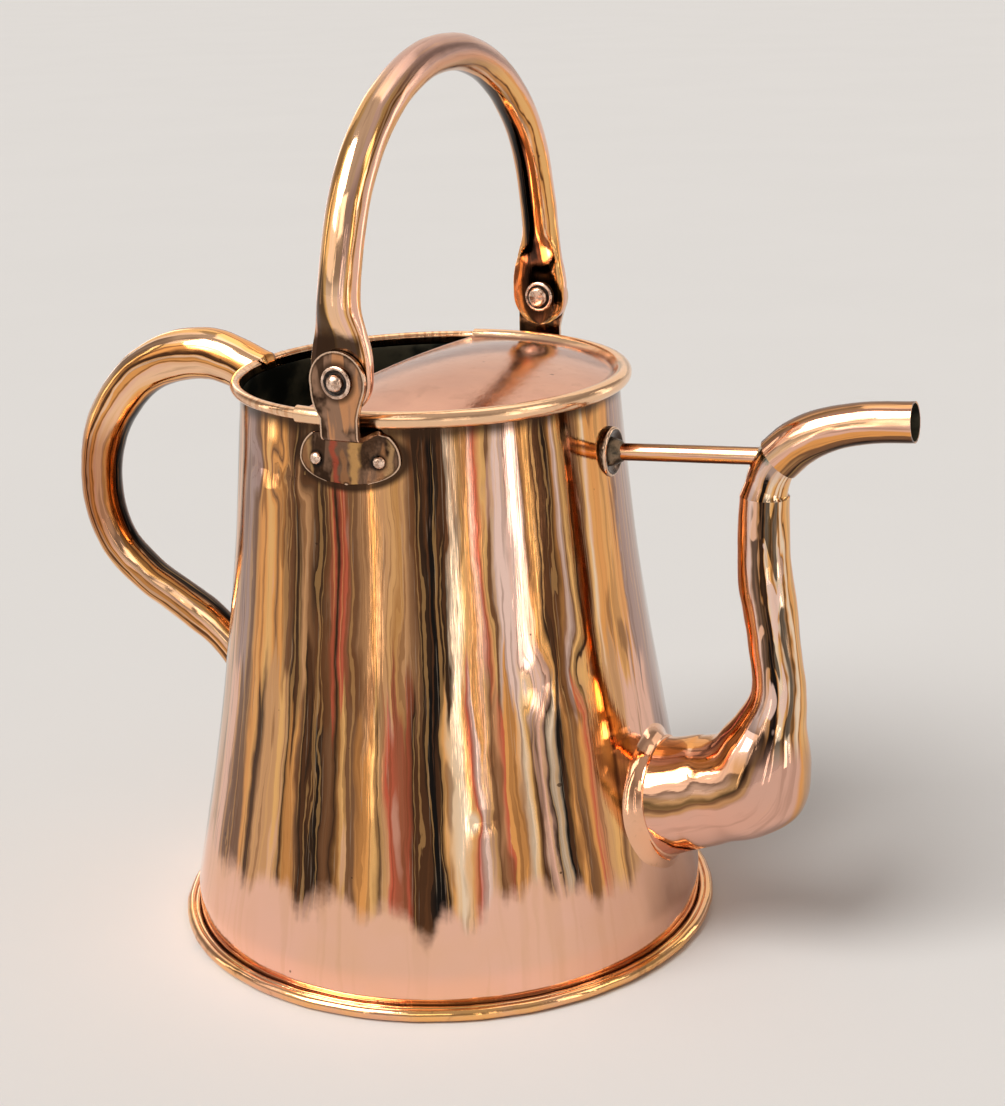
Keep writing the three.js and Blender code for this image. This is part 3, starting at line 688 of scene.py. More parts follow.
def bands(f, share, spans, soft, fringe=None):
    """The tone at a share of the full turn, from spans that each start at an angle in degrees.

    soft is how many degrees each edge takes. A dark span's edge against a light one passes through fringe.
    """
    made = None
    for first in range(0, len(spans), RAMP_SPANS):
        group = spans[first:first + RAMP_SPANS + 1]
        stops = [group[0]]
        for (_, before), (start, after) in zip(group, group[1:]):
            stops.append((start - soft, before))
            if fringe and abs(sum(before) - sum(after)) > 1.2:
                stops.append((start, fringe))
            stops.append((start + soft, after))
        tone = f.ramp(share, [((degrees + 180) / 360, value) for degrees, value in stops])
        made = f.mix(share > (group[0][0] + 180) / 360, made, tone) if made else tone
    return made


def wound(f, share, along):
    """A place on a skin for noise whose lines follow the bands: round as a circle, and a distance along."""
    angle = share * (2 * math.pi)
    return f.vector(f.math("COSINE", angle), f.math("SINE", angle), along)


def turn_share(f, x, y, wobbles):
    """The angle round an axis as a share of the full turn from minus 180 degrees, pushed about by wobbles."""
    turn = (f.math("ARCTAN2", y, x) + math.pi) / (2 * math.pi)
    for wobble, degrees in wobbles:
        turn = turn + wobble.swing(degrees / 360)
    return turn


def wall_copper():
    """The body: polished sheet with upright bands of painted reflection, a painted floor reflection near the
    foot, painted shadow beside the ears' flanges, and darker under the rim and at the very foot.
    """
    f = Finish("wall_copper")
    radius = f.radius()

    def around(stretch):
        return f.vector(f.x / radius, f.y / radius, f.z * stretch)
    ragged = f.noise(around(1.7), 9.0)
    jagged = f.noise(around(3.2), 11.0, 3.0, 0.55)
    hair = f.noise(around(0.25), 90.0, 3.0, 0.6)
    turn = turn_share(f, f.x, f.y, ((ragged, 5.0), (jagged, 3.0), (hair, 0.35)))
    # The painted reflection bands are pulled round the deepest dents
    for degrees, z, size, depth in DEEP_DENTS:
        ends = enumerate((f.place, on_wall(degrees, z) * MM))
        away = f.node("ShaderNodeVectorMath", ends, "Value", operation="DISTANCE")
        pinch = away.fall(0.0, 2.4 * size * MM, 2.2 * depth)
        turn = turn + pinch * (turn - (degrees + 180) / 360)
    streaks = f.noise(wound(f, turn, f.z * 0.35), 24.0, 1.0)
    fine = f.noise(wound(f, turn, f.z * 0.10), 58.0, 1.0)
    patch = f.noise(wound(f, turn, f.z * 1.3), 9.0)
    # Upright bands of painted reflection, one set above the waist and one below
    upper, lower = (bands(f, turn, spans, 0.35, AMBER) for spans in (UPPER_REFLECTION_BANDS, LOWER_REFLECTION_BANDS))
    waist = f.z + streaks.swing(0.11)
    f.base = f.mix(waist.rise(*WAIST_EDGE), lower, upper)
    # Darker and lighter streaks, patches and fine lines laid along the painted reflection bands
    f.lay(UMBER, streaks.rise(0.56, 0.62, 0.35))
    f.lay(UMBER, patch.rise(0.60, 0.64, 0.60))
    f.lay(ROSE, patch.rise(0.37, 0.33, 0.45))
    f.lay(UMBER, fine.rise(0.57, 0.61, turn.smooth(0.443, 0.455, 0.42, 0.12)))
    f.lay(GOLD, fine.rise(0.41, 0.37, 0.30))
    f.lay(PALE, hair.rise(0.60, 0.68, 0.15))
    cloud = f.noise(f.place, 22.0, 3.0, 0.55)
    # Near the foot the bands give way to a painted floor reflection, browner from about 20 degrees before the
    # spout onwards as painted reflected shade
    painted_floor_reflection = f.mix(cloud.rise(0.35, 0.7), (0.97, 0.57, 0.43), (0.95, 0.55, 0.37))
    painted_floor_reflection = f.mix(streaks.rise(0.48, 0.68, 0.20), painted_floor_reflection, TAN)
    painted_floor_reflection = f.mix(turn.rise(0.370, 0.445, 0.65), painted_floor_reflection, (0.72, 0.38, 0.25))
    broad = f.noise(around(1.0), 6.0)
    worn = f.noise(f.place, 130.0, 3.0, 0.6)
    edge = f.z + broad.swing(0.055) + worn.swing(0.010) + fine.swing(0.004)
    f.base = f.mix(edge.rise(*FLOOR_REFLECTION_EDGE), painted_floor_reflection, f.base)
    # A darker band just under the rim bead
    f.lay(DARK, (f.z + cloud.swing(0.010)).rise(*UNDER_RIM_DARK_EDGE, 0.9) * f.z.fall(*RIM_EDGE))
    f.lay(f.mix(fine.rise(0.42, 0.6), RIM_TONE, (0.80, 0.44, 0.24)), f.z.rise(*RIM_EDGE))
    f.lay(DARK, f.z.fall(0.0050, 0.0070, 0.8))
    f.speckle(260.0, 0.80, 0.8)
    # Painted shadow on the wall just outside each ear's flange
    beside = f.reach(EAR_FLANGE_X, EAR_FLANGE_MIDDLE, 0.0228, 0.0122).fall(0.98, 1.16, 0.95)
    f.lay(DARK, beside * (abs(f.y) > 0.05))
    f.bump(hair + cloud * 2.0, 0.07, 0.0006)
    return f.done(cloud.smooth(0.3, 0.75, 0.035, 0.09) + hair.rise(0.5, 0.8, 0.06))


def bright_copper(name, tone, warm, stain, stained, rough):
    """Polished copper: clouds of two tones, stains and fine rubbing marks."""
    f = Finish(name)
    cloud = f.noise(f.place, 26.0, 3.0, 0.55)
    drawn = f.noise(f.place, 70.0, 4.0, 0.6, 0.3)
    hair = f.noise(f.place, 320.0, 3.0, 0.6)
    f.base = f.mix(cloud.rise(0.34, 0.66), tone, warm)
    f.lay(stain, drawn.rise(0.57, 0.74, stained))
    f.lay(stain, hair.rise(0.62, 0.8, 0.25))
    f.speckle()
    f.bump(hair + drawn * 1.5, 0.12, 0.0005)
    f.done(cloud.smooth(0.3, 0.75, rough, rough + 0.07) + hair.rise(0.5, 0.8, 0.08))
    return f


def hood_copper():
    """The hood: dull pink sheet, brighter where it is folded over the rim."""
    f = bright_copper("hood_copper", (0.68, 0.37, 0.27), (0.77, 0.43, 0.31), BROWN, 0.15, 0.14)
    radius = f.radius()
    f.lay(BROWN, radius.rise(0.0742, 0.0752) * radius.rise(0.0768, 0.0760) * 0.5)
    f.lay(RIM_TONE, radius.rise(0.0758, 0.0772))
    return f.set(Base_Color=f.base)


def foot_copper():
    """The base: bright where its folded edge shows, dull and brown underneath."""
    f = bright_copper("foot_copper", (0.85, 0.48, 0.30), GOLD, UMBER, 0.75, 0.06)
    stain = f.noise(f.place, 45.0, 4.0, 0.6)
    under = f.z.fall(0.0003, 0.0009) * f.radius().rise(0.1155, 0.1145)
    f.lay(f.mix(stain.rise(0.38, 0.62), (0.20, 0.12, 0.08), (0.50, 0.30, 0.20)), under)
    return f.done(stain.smooth(0.3, 0.7, 0.06, 0.12) + under * 0.28)


def tube_copper(name, spans, lines=0.3, rough=0.05, soft=2.0, lower=None, split=None, patches=0.0):
    """Polished tube: long bands of painted reflection and highlight, and thin lines of tone, that follow its
    skin.

    lower gives other bands below a height, over split, and patches how strongly dark and pink patches of
    painted reflection break the bands.
    """
    f = Finish(name)
    across, up, length = f.split(f.skin)

    def along(stretch):
        return f.vector(across, up, length * stretch)
    ragged = f.noise(along(0.20), 1.5, 3.0)
    hair = f.noise(along(0.02), 9.0, 3.0, 0.6)
    turn = turn_share(f, across, up, ((ragged, 40.0), (hair, 2.0)))
    fine = f.noise(wound(f, turn, length * 0.035), 4.6)
    f.base = bands(f, turn, spans, soft, AMBER if soft < 4 else None)
    above = 1.0
    if lower:
        above = f.z.rise(*split)
        f.base = f.mix(above, bands(f, turn, lower, 2.0, AMBER), f.base)
    f.lay(UMBER, fine.rise(0.53, 0.64, 1.3 * lines))
    f.lay(GOLD, fine.rise(0.44, 0.34, lines))
    f.lay(BROWN, hair.rise(0.60, 0.68, 0.5 * lines))
    if patches:
        # Dark and pink patches of painted reflection, on the side towards the camera
        patch = f.noise(along(0.24), 1.5, 1.5, 0.5, 0.5)
        facing = turn.rise(0.09, 0.12) * turn.rise(0.30, 0.27) * above
        f.lay(f.mix(hair.rise(0.5, 0.7), BLACK, BROWN), facing * patch.rise(0.47, 0.50, patches))
        f.lay(PINK, facing * patch.rise(0.40, 0.38, patches))
    f.speckle()
    cloud = f.noise(f.place, 30.0, 3.0, 0.55)
    f.bump(hair + cloud * 2.0, 0.10, 0.0005)
    f.done(cloud.smooth(0.3, 0.75, rough, rough + 0.06) + hair.rise(0.5, 0.8, 0.08))
    return f


def bail_copper():
    """The bail's tube, with painted reflections along it, and painted shade where its flattened ends meet the
    ears and in their dished inner faces.
    """
    f = tube_copper("bail_copper", BAIL_TOP_REFLECTION_BANDS, 0.15, soft=8.0, lower=BAIL_REFLECTION_BANDS, split=(0.350, 0.367))
    cloud = f.noise(f.place, 120.0, 3.0, 0.6)
    reach = f.reach(PIVOT_X, PIVOT_Z + 2, 0.0090, 0.0155) + cloud.swing(0.35)
    dish_shade = reach.fall(0.85, 1.0, 0.95) * (abs(f.y) < BAIL_INNER_Y)
    near_ear = (f.z + cloud.swing(0.012)).fall(0.2680, 0.2745, 0.95) * (abs(f.y) > BAIL_INNER_Y)
    crevice_shade = near_ear * ((f.x - PIVOT_X * MM) / 0.0090).fall(0.95, 1.15)
    # A painted dark reflection: a wedge low on the outer side of each leg
    round_x, round_y, _ = f.split(f.skin)
    off = abs(round_x + 0.42)
    f.lay(DARK, (f.z + off * 0.07).fall(0.296, 0.310, 0.93) * round_y.rise(0.3, 0.6) * off.fall(0.32, 0.40))
    # Painted shade in the dished inner faces and in the crevice above each ear
    f.lay(DARK, f.math("MAXIMUM", dish_shade, crevice_shade))
    return f.done(cloud.smooth(0.3, 0.75, 0.05, 0.11) + f.z.rise(0.345, 0.364, 0.16))


def handle_copper():
    """The rear handle's tube, redder and darker half way up."""
    f = tube_copper("handle_copper", HANDLE_REFLECTION_BANDS)
    half_way = f.z.rise(0.138, 0.160) * f.z.rise(0.212, 0.190)
    return f.set(Base_Color=f.mix(half_way, f.base, (0.64, 0.50, 0.44), "MULTIPLY"))


def knuckle_copper():
    """The bend between riser and nozzle, with grey solder and green at its top joint."""
    f = tube_copper("knuckle_copper", RISER_REFLECTION_BANDS)
    reach = f.z + f.noise(f.place, 240.0, 4.0, 0.65).swing(0.016)
    f.lay((0.80, 0.56, 0.46), reach.rise(0.203, 0.2085, 0.60))
    f.lay(VERDIGRIS, reach.rise(0.2110, 0.2150, 0.7))
    return f.set(Base_Color=f.base)


def brown_copper(name, low, high):
    """Ears and stay flange: brown sheet with bright edges that are partly rubbed metal and partly painted
    highlight, dirty round the rivets, with painted shade on the ears' inner faces.

    The skin's first number is the distance to the sheet's edge in millimetres.
    """
    f = Finish(name)
    cloud = f.noise(f.place, 60.0, 4.0, 0.6)
    stretched = f.node("ShaderNodeMapping", {"Vector": f.place, "Scale": (1.0, 0.3, 0.22)})
    streaks = f.noise(stretched, 150.0, 2.0, 0.5, 0.3)
    grain = f.noise(f.place, 700.0, 3.0, 0.65)
    f.base = f.mix(cloud.rise(0.42, 0.56), low, high)
    f.lay((0.74, 0.34, 0.15), streaks.rise(0.54, 0.60, 0.80))
    f.lay(DARK, streaks.rise(0.46, 0.39, 0.85))
    across = f.x + cloud.swing(0.012)
    low_down = f.z.rise(0.2306, 0.2296)
    f.lay(DARK, low_down * 0.5)
    # Painted reflection stripes across the ears' flanges
    for start, stop, tone in EAR_REFLECTION_STRIPES:
        stripe = across.rise(start - 0.0010, start + 0.0006) * across.rise(stop + 0.0010, stop - 0.0006)
        f.lay(tone, stripe * low_down * 0.85)
    # Along the sheet's rounded edges a dark line, then a bright edge that is partly rubbed metal and partly
    # painted highlight
    edge = f.split(f.skin)[0] + grain.swing(0.5)
    f.lay(DARK, edge.fall(0.9, 1.5, 0.7))
    f.lay((0.88, 0.60, 0.42), edge.fall(0.45, 0.75, 0.9))
    for x in EAR_RIVET_X.values():
        f.lay(BLACK, f.reach(x, EAR_RIVET_Z).fall(0.0024, 0.0042, 0.95))
    f.lay(DARK, f.reach(PIVOT_X, PIVOT_Z).fall(0.0066, 0.0092, 0.85))
    # Painted shade: the ears' inner faces above the rim are laid black
    f.lay(BLACK, (abs(f.y) < EAR_INNER_Y) * (f.z > 0.234) * 0.9)
    f.bump(cloud * 3.0 + grain, 0.18, 0.0004)
    return f.done(cloud.smooth(0.3, 0.7, 0.06, 0.14))


def clouded(name, noise_size, span, low, high, bump, rough, metal=1.0):
    """A plain finish: clouds of two tones, with a bump and a roughness that follow them."""
    f = Finish(name)
    cloud = f.noise(f.place, *noise_size)
    f.base = f.mix(cloud.rise(*span), low, high)
    f.bump(cloud, *bump)
    f.done(cloud.smooth(0.3, 0.7, *rough), metal)
    return f


def rivet_copper():
    """Rivets and washers, dark in their hollows."""
    f = clouded("rivet_copper", (420.0, 3.0, 0.6), (0.36, 0.62), (0.50, 0.32, 0.23), (0.92, 0.68, 0.54),
                (0.3, 0.0005), (0.16, 0.34))
    f.lay(DARK, f.node("ShaderNodeNewGeometry", output="Pointiness").fall(0.40, 0.47, 0.85))
    return f.set(Base_Color=f.base)


def dirt():
    """The black dirt in the washers' grooves."""
    f = Finish("dirt")
    cloud = f.noise(f.place, 500.0, 3.0, 0.6)
    f.base = f.mix(cloud.rise(0.35, 0.7), BLACK, (0.09, 0.06, 0.045))
    f.bump(cloud, 0.5, 0.0004)
    return f.done(0.6, 0.4)


def floor_paint():
    f = Finish("floor_paint")
    cloud = f.noise(f.place, 3.0, 4.0, 0.6)
    tone = f.mix(cloud.rise(0.3, 0.7), (0.765, 0.765, 0.765), (0.775, 0.775, 0.775))
    return f.set(Base_Color=tone, Roughness=0.9, Specular_IOR_Level=0.0)


# Pieces


def wall_dents(points):
    """Hammering and small dents in the body's sheet, nothing at the foot and the rim."""
    held = eased(points[..., 2], 8, 16) * eased(points[..., 2], 228, -10)
    wave = 0.34 * lumps(points, (21, 21, 62)) + 0.20 * lumps(points, (11, 11, 27), 7.3)
    wave += 0.30 * lumps(points, (60, 60, 90), 3.1)
    for degrees, z, size, depth in WALL_DENTS:
        away = np.linalg.norm((points - on_wall(degrees, z)) / (size, size, size * 0.6), axis=-1)
        wave -= depth * np.exp(-away**2)
    return wave * held


def make_body():
    """The wall, its flange at the foot and its curl at the rim, with the hole for the spout."""
    bead = (RIM_R, RIM_Z)
    heights = np.r_[5.6, np.linspace(9, 226, 108), 229, 231, WALL_TOP_Z]
    outer = [[FLANGE_R, FLANGE_LOW], [FLANGE_R, FLANGE_HIGH], [FOOT_BAND_R + 0.8, FLANGE_HIGH],
             [FOOT_BAND_R + 0.15, FLANGE_HIGH + 0.3], *([wall_radius(z), z] for z in heights),
             *arc(bead, RIM_BEAD_R - CURL_SHEET, 195, -120, 14), *arc(bead, RIM_BEAD_R, -120, 190, 20)]
    inner = [*([wall_radius(z) - SHEET, z] for z in heights[::-1]), [FOOT_BAND_R - SHEET, FLANGE_LOW]]
    rings = turned_rings(outer + inner, ROUND, dents=wall_dents)
    faces = grid_faces(len(rings), ROUND, rows_close=True)
    body = add_mesh("body", rings, faces, ["wall", "inner"], np.arange(len(faces)) // ROUND >= len(outer))
    bore = turned_rings([[COLLAR_BORE_R, -24], [COLLAR_BORE_R, 10]], 64, SPOUT_ROOT, ROOT_ALONG)
    cut_with(body, *capped(bore))
    take(body, "polished_copper", "body_shell")


def make_foot():
    """The base disc with its folded edge, a little uneven from hammering."""
    fold = (FOOT_R - FOOT_FOLD_R, FOOT_FOLD_R)
    outline = [[POLE, 0.55], [40, 0.45], [80, 0.35], [100, 0.1], [108, 0.0],
               *arc(fold, FOOT_FOLD_R, -90, 100, 16), [FOOT_LIP_R, FOOT_HEIGHT - 0.2],
               [FOOT_LIP_R - 0.25, FOOT_HEIGHT - 0.6], [FOOT_LIP_R, FOOT_HEIGHT - BASE_SHEET],
               *arc(fold, FOOT_FOLD_R - BASE_SHEET, 90, -90, 10), [100, 1.3], [60, 1.6], [POLE, 1.75]]

    def uneven(points):
        near_edge = eased(np.hypot(points[..., 0], points[..., 1]), 112, 4)
        marks = 0.30 * lumps(points, (13, 13, 60)) + 0.12 * lumps(points, (5, 5, 20), 4.0)
        return -near_edge * (0.22 + marks)

    take(add_solid("foot_and_base", turned_rings(outline, ROUND, dents=uneven), "foot"),
         "polished_copper", "base_disc")
    seam = turned_rings(arc((FOOT_LIP_R - 1.5, 3.6), 1.5, 0, 330, 11), ROUND)
    seam[..., 2] += 0.25 * lumps(seam, 7.0)
    faces = grid_faces(len(seam), ROUND, rows_close=True)
    take(add_mesh("foot_seam", seam, faces, ["foot"]), "polished_copper")


def hood_rise(x, y):
    """How far the hood is domed at a place: nothing at the rim, and little at its straight edge."""
    in_from_rim = 1 - (x * x + y * y) / HOOD_SEAT_R**2
    behind_edge = np.exp(-np.maximum(x - HOOD_EDGE_X, -HOOD_RISE_RUN) / HOOD_RISE_RUN)
    return HOOD_RISE * np.maximum(in_from_rim, 0) * (1 - (1 - HOOD_HEM_SHARE) * behind_edge)


def make_hood():
    """The hood, turned whole, domed and cut off at its straight edge, and the hem along that edge."""
    bead = (RIM_R, RIM_Z)
    outer = RIM_BEAD_R + GAP + HOOD_SHEET
    plate = np.r_[POLE, np.linspace(4, 68, 18), 71, 73.5, HOOD_SEAT_R]
    top = [*([r, HOOD_SEAT_Z + HOOD_SHEET] for r in plate), *arc(bead, outer, 148, -112, 22)]
    fold = arc(bead, outer - HOOD_SHEET, -112, 155, 18)
    rings = turned_rings([*top, *fold, *([r, HOOD_SEAT_Z] for r in plate[::-1])], ROUND)
    rings[..., 2] += hood_rise(rings[..., 0], rings[..., 1])
    settled = eased(np.hypot(rings[..., 0], rings[..., 1]), 76, -20)
    rings[..., 2] += settled * (0.30 * lumps(rings, (34, 34, 60), 2.0) + 0.10 * lumps(rings, (12, 12, 30)))
    faces = grid_faces(len(rings), ROUND)
    below = np.arange(len(faces)) // ROUND >= len(top) + len(fold) - 1
    last = (len(rings) - 1) * ROUND
    faces += [tuple(range(ROUND - 1, -1, -1)), tuple(range(last, last + ROUND))]
    hood = add_mesh("hood_sheet", rings, faces, ["hood", "inner"], np.r_[below, False, True])
    reach = RIM_R + 20
    corners = [(x, y, z) for x in (-reach, HOOD_EDGE_X) for y in (-reach, reach) for z in (200, 280)]
    box = [(0, 1, 3, 2), (4, 6, 7, 5), (0, 4, 5, 1), (2, 3, 7, 6), (0, 2, 6, 4), (1, 5, 7, 3)]
    cut_with(hood, corners, box)
    take(hood, "polished_copper", "hood")
    y = np.linspace(-HOOD_HEM_HALF, HOOD_HEM_HALF, 90)
    z = HOOD_SEAT_Z + HOOD_SHEET / 2 + hood_rise(np.full(90, float(HOOD_EDGE_X)), y)
    line = np.stack([np.full(90, HOOD_EDGE_X + 0.35), y, z], axis=-1)
    rings = line[:, None] + circle(10, (HOOD_HEM_R, 0, 0), (0, 0, HOOD_HEM_R))
    take(add_solid("hood_hem", rings, "hood"), "polished_copper")


def hammered(size, depth, seam=None):
    """Dents for a tube: hammer marks of a size and depth, and maybe a sunk seam at an angle round it."""
    def dents(points, a):
        made = depth * lumps(points, size) + 0.45 * depth * lumps(points, size * 0.45, 5.0)
        if seam is not None:
            off = (np.degrees(a) - seam + 180) % 360 - 180
            made -= 0.32 * np.exp(-(off / 3.2) ** 2)[None, :]
        return made - depth * 0.6
    return dents


def clear_of_rim(points):
    """Inside the can as the handle's top end meets it: the wall, the bead, and all within the bead."""
    r, z = np.hypot(points[..., 0], points[..., 1]), points[..., 2]
    within = (r < wall_radius(z)) & (z < RIM_Z)
    bead = np.hypot(r - RIM_R, z - RIM_Z) < RIM_BEAD_R
    return within | bead | ((r < RIM_R - 1.4) & (z >= RIM_Z))


def in_wall(offset):
    """A shape: the inside of the wall, grown by an offset."""
    return lambda points: outside_wall(points) < offset


def make_handle():
    """The handle's tube, its top end lapped over the rim and the solder round its foot."""
    line = smooth_line(HANDLE, 9)
    made = []
    for grow in (0.0, -TUBE_WALL):
        rings = trimmed(tube_rings(line, 72, grow, hammered(15.0, 0.30, seam=205)), in_wall(0.0))
        made.append(trimmed(rings[::-1], clear_of_rim)[::-1])
    take(add_shell("handle_tube", *made, "handle"), "handle_copper", "rear_handle")
    lip = made[0][0]
    over = eased(lip[:, 2], RIM_Z + RIM_BEAD_R + 0.1, 1.6)
    turn = np.radians(np.linspace(0, 90, 9))[:, None]
    lap = np.repeat(lip[None], len(turn), axis=0)
    lap[..., 0] += 2.6 * over * np.sin(turn)
    lap[..., 2] -= over * (lip[:, 2] - RIM_Z + 2.2) * (1 - np.cos(turn))
    take(add_mesh("handle_top_lap", lap, grid_faces(*lap.shape[:2]), ["handle"], None, skin_of(lap)),
         "handle_copper")
    take(add_fillet("handle_foot_seam", made[0][-2]), "polished_copper")


def from_wall(across, height):
    """Points a height outside the wall, at offsets across the spout's root line."""
    low, high = np.full(len(across), -60.0), np.full(len(across), 40.0)
    for _ in range(40):
        middle = (low + high) / 2
        points = np.array(SPOUT_ROOT) + across + middle[:, None] * ROOT_ALONG
        too_far = outside_wall(points) > height
        high = np.where(too_far, middle, high)
        low = np.where(too_far, low, middle)
    return points


def make_collar():
    """A flared neck from the wall, blended into it, and the sleeve that the spout slides over."""
    out = circle(SPOUT_SIDES, ROOT_UP, (0, 1, 0))
    end, sunk = math.radians(82), 0.25
    rings = []
    for turn in np.radians(np.linspace(0, 82, 26)):
        radius = COLLAR_FOOT_R - (COLLAR_FOOT_R - COLLAR_EDGE_R) * math.sin(turn) / math.sin(end)
        height = -sunk + (COLLAR_HEIGHT + sunk) * (1 - math.cos(turn)) / (1 - math.cos(end))
        rings.append(from_wall(radius * out, height))
    rings.append(from_wall((COLLAR_EDGE_R - 0.5) * out, COLLAR_HEIGHT + 0.25))
    rings.append(from_wall(COLLAR_SLEEVE_R * out, COLLAR_HEIGHT + 0.3))
    sleeve_end = np.array(SPOUT_ROOT) + COLLAR_SLEEVE_REACH * ROOT_ALONG
    rings += [sleeve_end + COLLAR_SLEEVE_R * out, sleeve_end + COLLAR_BORE_R * out]
    rings.append(from_wall(COLLAR_BORE_R * out, -0.4))
    take(add_shell("spout_neck", np.array(rings), np.array(rings[-1:]), "neck", "neck"),
         "polished_copper", "spout_collar")


def make_spout():
    """The elbow and riser, the solder over the riser's top, the knuckle and the nozzle."""
    def dents(points, a):
        upright = eased(points[..., 2], 85, 40)
        made = 0.42 * lumps(points, 19.0) + 0.22 * lumps(points, 8.5, 3.0)
        made += upright * 0.30 * lumps(points, (7, 7, 30), 9.0)
        return made - 0.2

    on_collar = in_wall(COLLAR_HEIGHT + GAP)
    line = smooth_line(LOWER_SPOUT, 14)
    outer, inner = (trimmed(tube_rings(line, SPOUT_SIDES, grow, dents)[::-1], on_collar)[::-1]
                    for grow in (0.0, -TUBE_WALL))
    take(add_shell("elbow_and_riser", outer, inner, "spout"), "polished_copper", "lower_spout")
    riser_top = outer[-1]
    line = smooth_line(KNUCKLE, 10)
    bare = tube_rings(line, SPOUT_SIDES, -0.1)
    rows = 12 + 5.5 * (1 + np.cos(angles(SPOUT_SIDES)))
    landing = np.array([on_line(bare, j, at) for j, at in enumerate(rows)])
    share = np.linspace(0, 1, 14)[:, None, None]
    neck = riser_top * (1 - share) + landing * share
    neck -= 0.25 * np.sin(np.pi * share) * unit(riser_top - riser_top.mean(axis=0))
    take(add_mesh("riser_top_neck", neck, grid_faces(*neck.shape[:2]), ["knuckle"], None, skin_of(neck)),
         "polished_copper")
    outer, inner = (tube_rings(line, 48, grow, hammered(9.0, 0.10)) for grow in (0.0, -TUBE_WALL))
    take(add_shell("knuckle_tube", outer, inner, "knuckle"), "polished_copper", "spout_knuckle")
    line = smooth_line(NOZZLE, 12)
    outer, inner = (tube_rings(line, 64, grow, hammered(16.0, 0.12)) for grow in (0.0, -NOZZLE_WALL))
    take(add_shell("nozzle_tube", outer, inner, "nozzle"), "handle_copper", "spout_nozzle")


def near_line(stations, reach):
    """Inside a tube along a centreline, with its own radius and a reach."""
    line = smooth_line(stations, 8)

    def inside(points):
        flat = points.reshape(-1, 3)
        away = np.linalg.norm(flat[:, None] - np.c_[line[:, 0], 0 * line[:, 0], line[:, 1]][None], axis=-1)
        return (away - line[:, 2] / 2 < reach).any(axis=1).reshape(points.shape[:-1])
    return inside


def stay_end():
    """The closed line where the stay meets the knuckle."""
    knuckle = smooth_line(KNUCKLE, 8)
    z = STAY_TO[1]
    x, _, across = knuckle[np.abs(knuckle[:, 1] - z).argmin()]
    a = angles(36)
    inset = np.sqrt((across / 2) ** 2 - (STAY_R * np.sin(a)) ** 2)
    return np.stack([x - inset + 0.25 * STAY_R * np.cos(a), 1.02 * STAY_R * np.sin(a),
                     z - 0.1 + 1.02 * STAY_R * np.cos(a)], axis=-1)


def make_stay():
    """The stay's rod, its round foot on the wall, and the braze and solder at its ends."""
    line = smooth_line([(*STAY_FROM, 2 * STAY_R), (*STAY_TO, 2 * STAY_R)], 60)
    rings = trimmed(tube_rings(line, 36, 0.0, hammered(18.0, 0.05)), near_line(KNUCKLE, -0.2))
    take(add_solid("stay_tube", rings, "stay"), "handle_copper", "stay_rod")
    z = STAY_FROM[1]
    back, face, edge = STAY_FLANGE_BACK_X, STAY_FLANGE_FACE_X, STAY_FLANGE_R
    # Radius, x, and how far the finish takes each ring to be from the sheet's edge
    profile = np.array([
        [POLE, back, 1.2], [edge - 1, back, 1.1], [edge, back + 0.8, 0.9], [edge, face - 1.2, 0.7],
        [edge - 0.3, face - 0.4, 0.3], [edge - 0.9, face, 0.5], [edge - 2.0, face - 0.1, 1.1],
        [edge - 3.0, face - 0.8, 1.5], [4.0, face - 0.7, 9.0], [POLE, face - 0.6, 9.0]])
    rings = turned_rings(profile[:, :2], 64, (0, 0, z - 0.2), (1, 0, 0))
    rings[..., 0] = np.minimum(rings[..., 0] + 0.10 * lumps(rings, 5.0), face)
    skin = np.full(rings.shape, 9.0)
    skin[..., 0] = profile[:, 2, None]
    take(add_solid("stay_foot", rings, "flange", skin), "brown_copper", "stay_flange")
    outline = [[POLE, 5.5], [2.2, 5.3], [3.9, 4.2], [4.9, 2.6], [5.6, 0.9], [5.9, -0.6], [POLE, -0.8]]
    lump = turned_rings(outline, 40, (face - 0.7, 0, z), (1, 0.0, 0.06))
    lump = lump + (0.55 * lumps(lump, 2.6))[..., None] * unit(lump - np.array([face - 2, 0, z]))
    take(add_solid("stay_braze", lump, "braze"), "brown_copper")
    take(add_fillet("stay_tip_solder", stay_end()), "polished_copper")


def quadratic(p, q, r):
    """Points of a quadratic curve from p to r, with its control point at q."""
    t = np.linspace(0, 1, 24)[:, None]
    p, q, r = (np.array(v, float) for v in (p, q, r))
    return (1 - t) ** 2 * p + 2 * t * (1 - t) * q + t**2 * r


def by_height(*stretches):
    """An edge's x as a function of height, from stretches of points."""
    edge = np.vstack(stretches)
    order = np.argsort(edge[:, 1], kind="stable")
    return lambda z: np.interp(z, edge[order, 1], edge[order, 0])


def plate_edge(shoulder, out_x, neck_x):
    """An edge of an ear's upright plate: round its disc to an angle, and down its neck."""
    disc = arc((PIVOT_X, PIVOT_Z), EAR_DISC_R, 90, shoulder, 40)
    neck = quadratic(disc[-1], (out_x, EAR_NECK_Z + 5), (neck_x, EAR_NECK_Z))
    return by_height(disc, neck, [[neck_x, EAR_WEB_LOW - 5]])


def flange_edge(side):
    """The edge of an ear's flange on its rear or front side."""
    end = (EAR_FLANGE_X + side * EAR_FLANGE_HALF, EAR_FLANGE_LOW + 8.5)
    inset = 10.5 if side < 0 else 8
    upper = quadratic((end[0] - side * inset, EAR_WEB_HIGH), (end[0] + side * 0.5, EAR_FLANGE_LOW + 17), end)
    lower = quadratic(end, (end[0] - side * 2, EAR_FLANGE_LOW + 1), (EAR_FLANGE_X, EAR_FLANGE_LOW))
    return by_height(upper, lower)


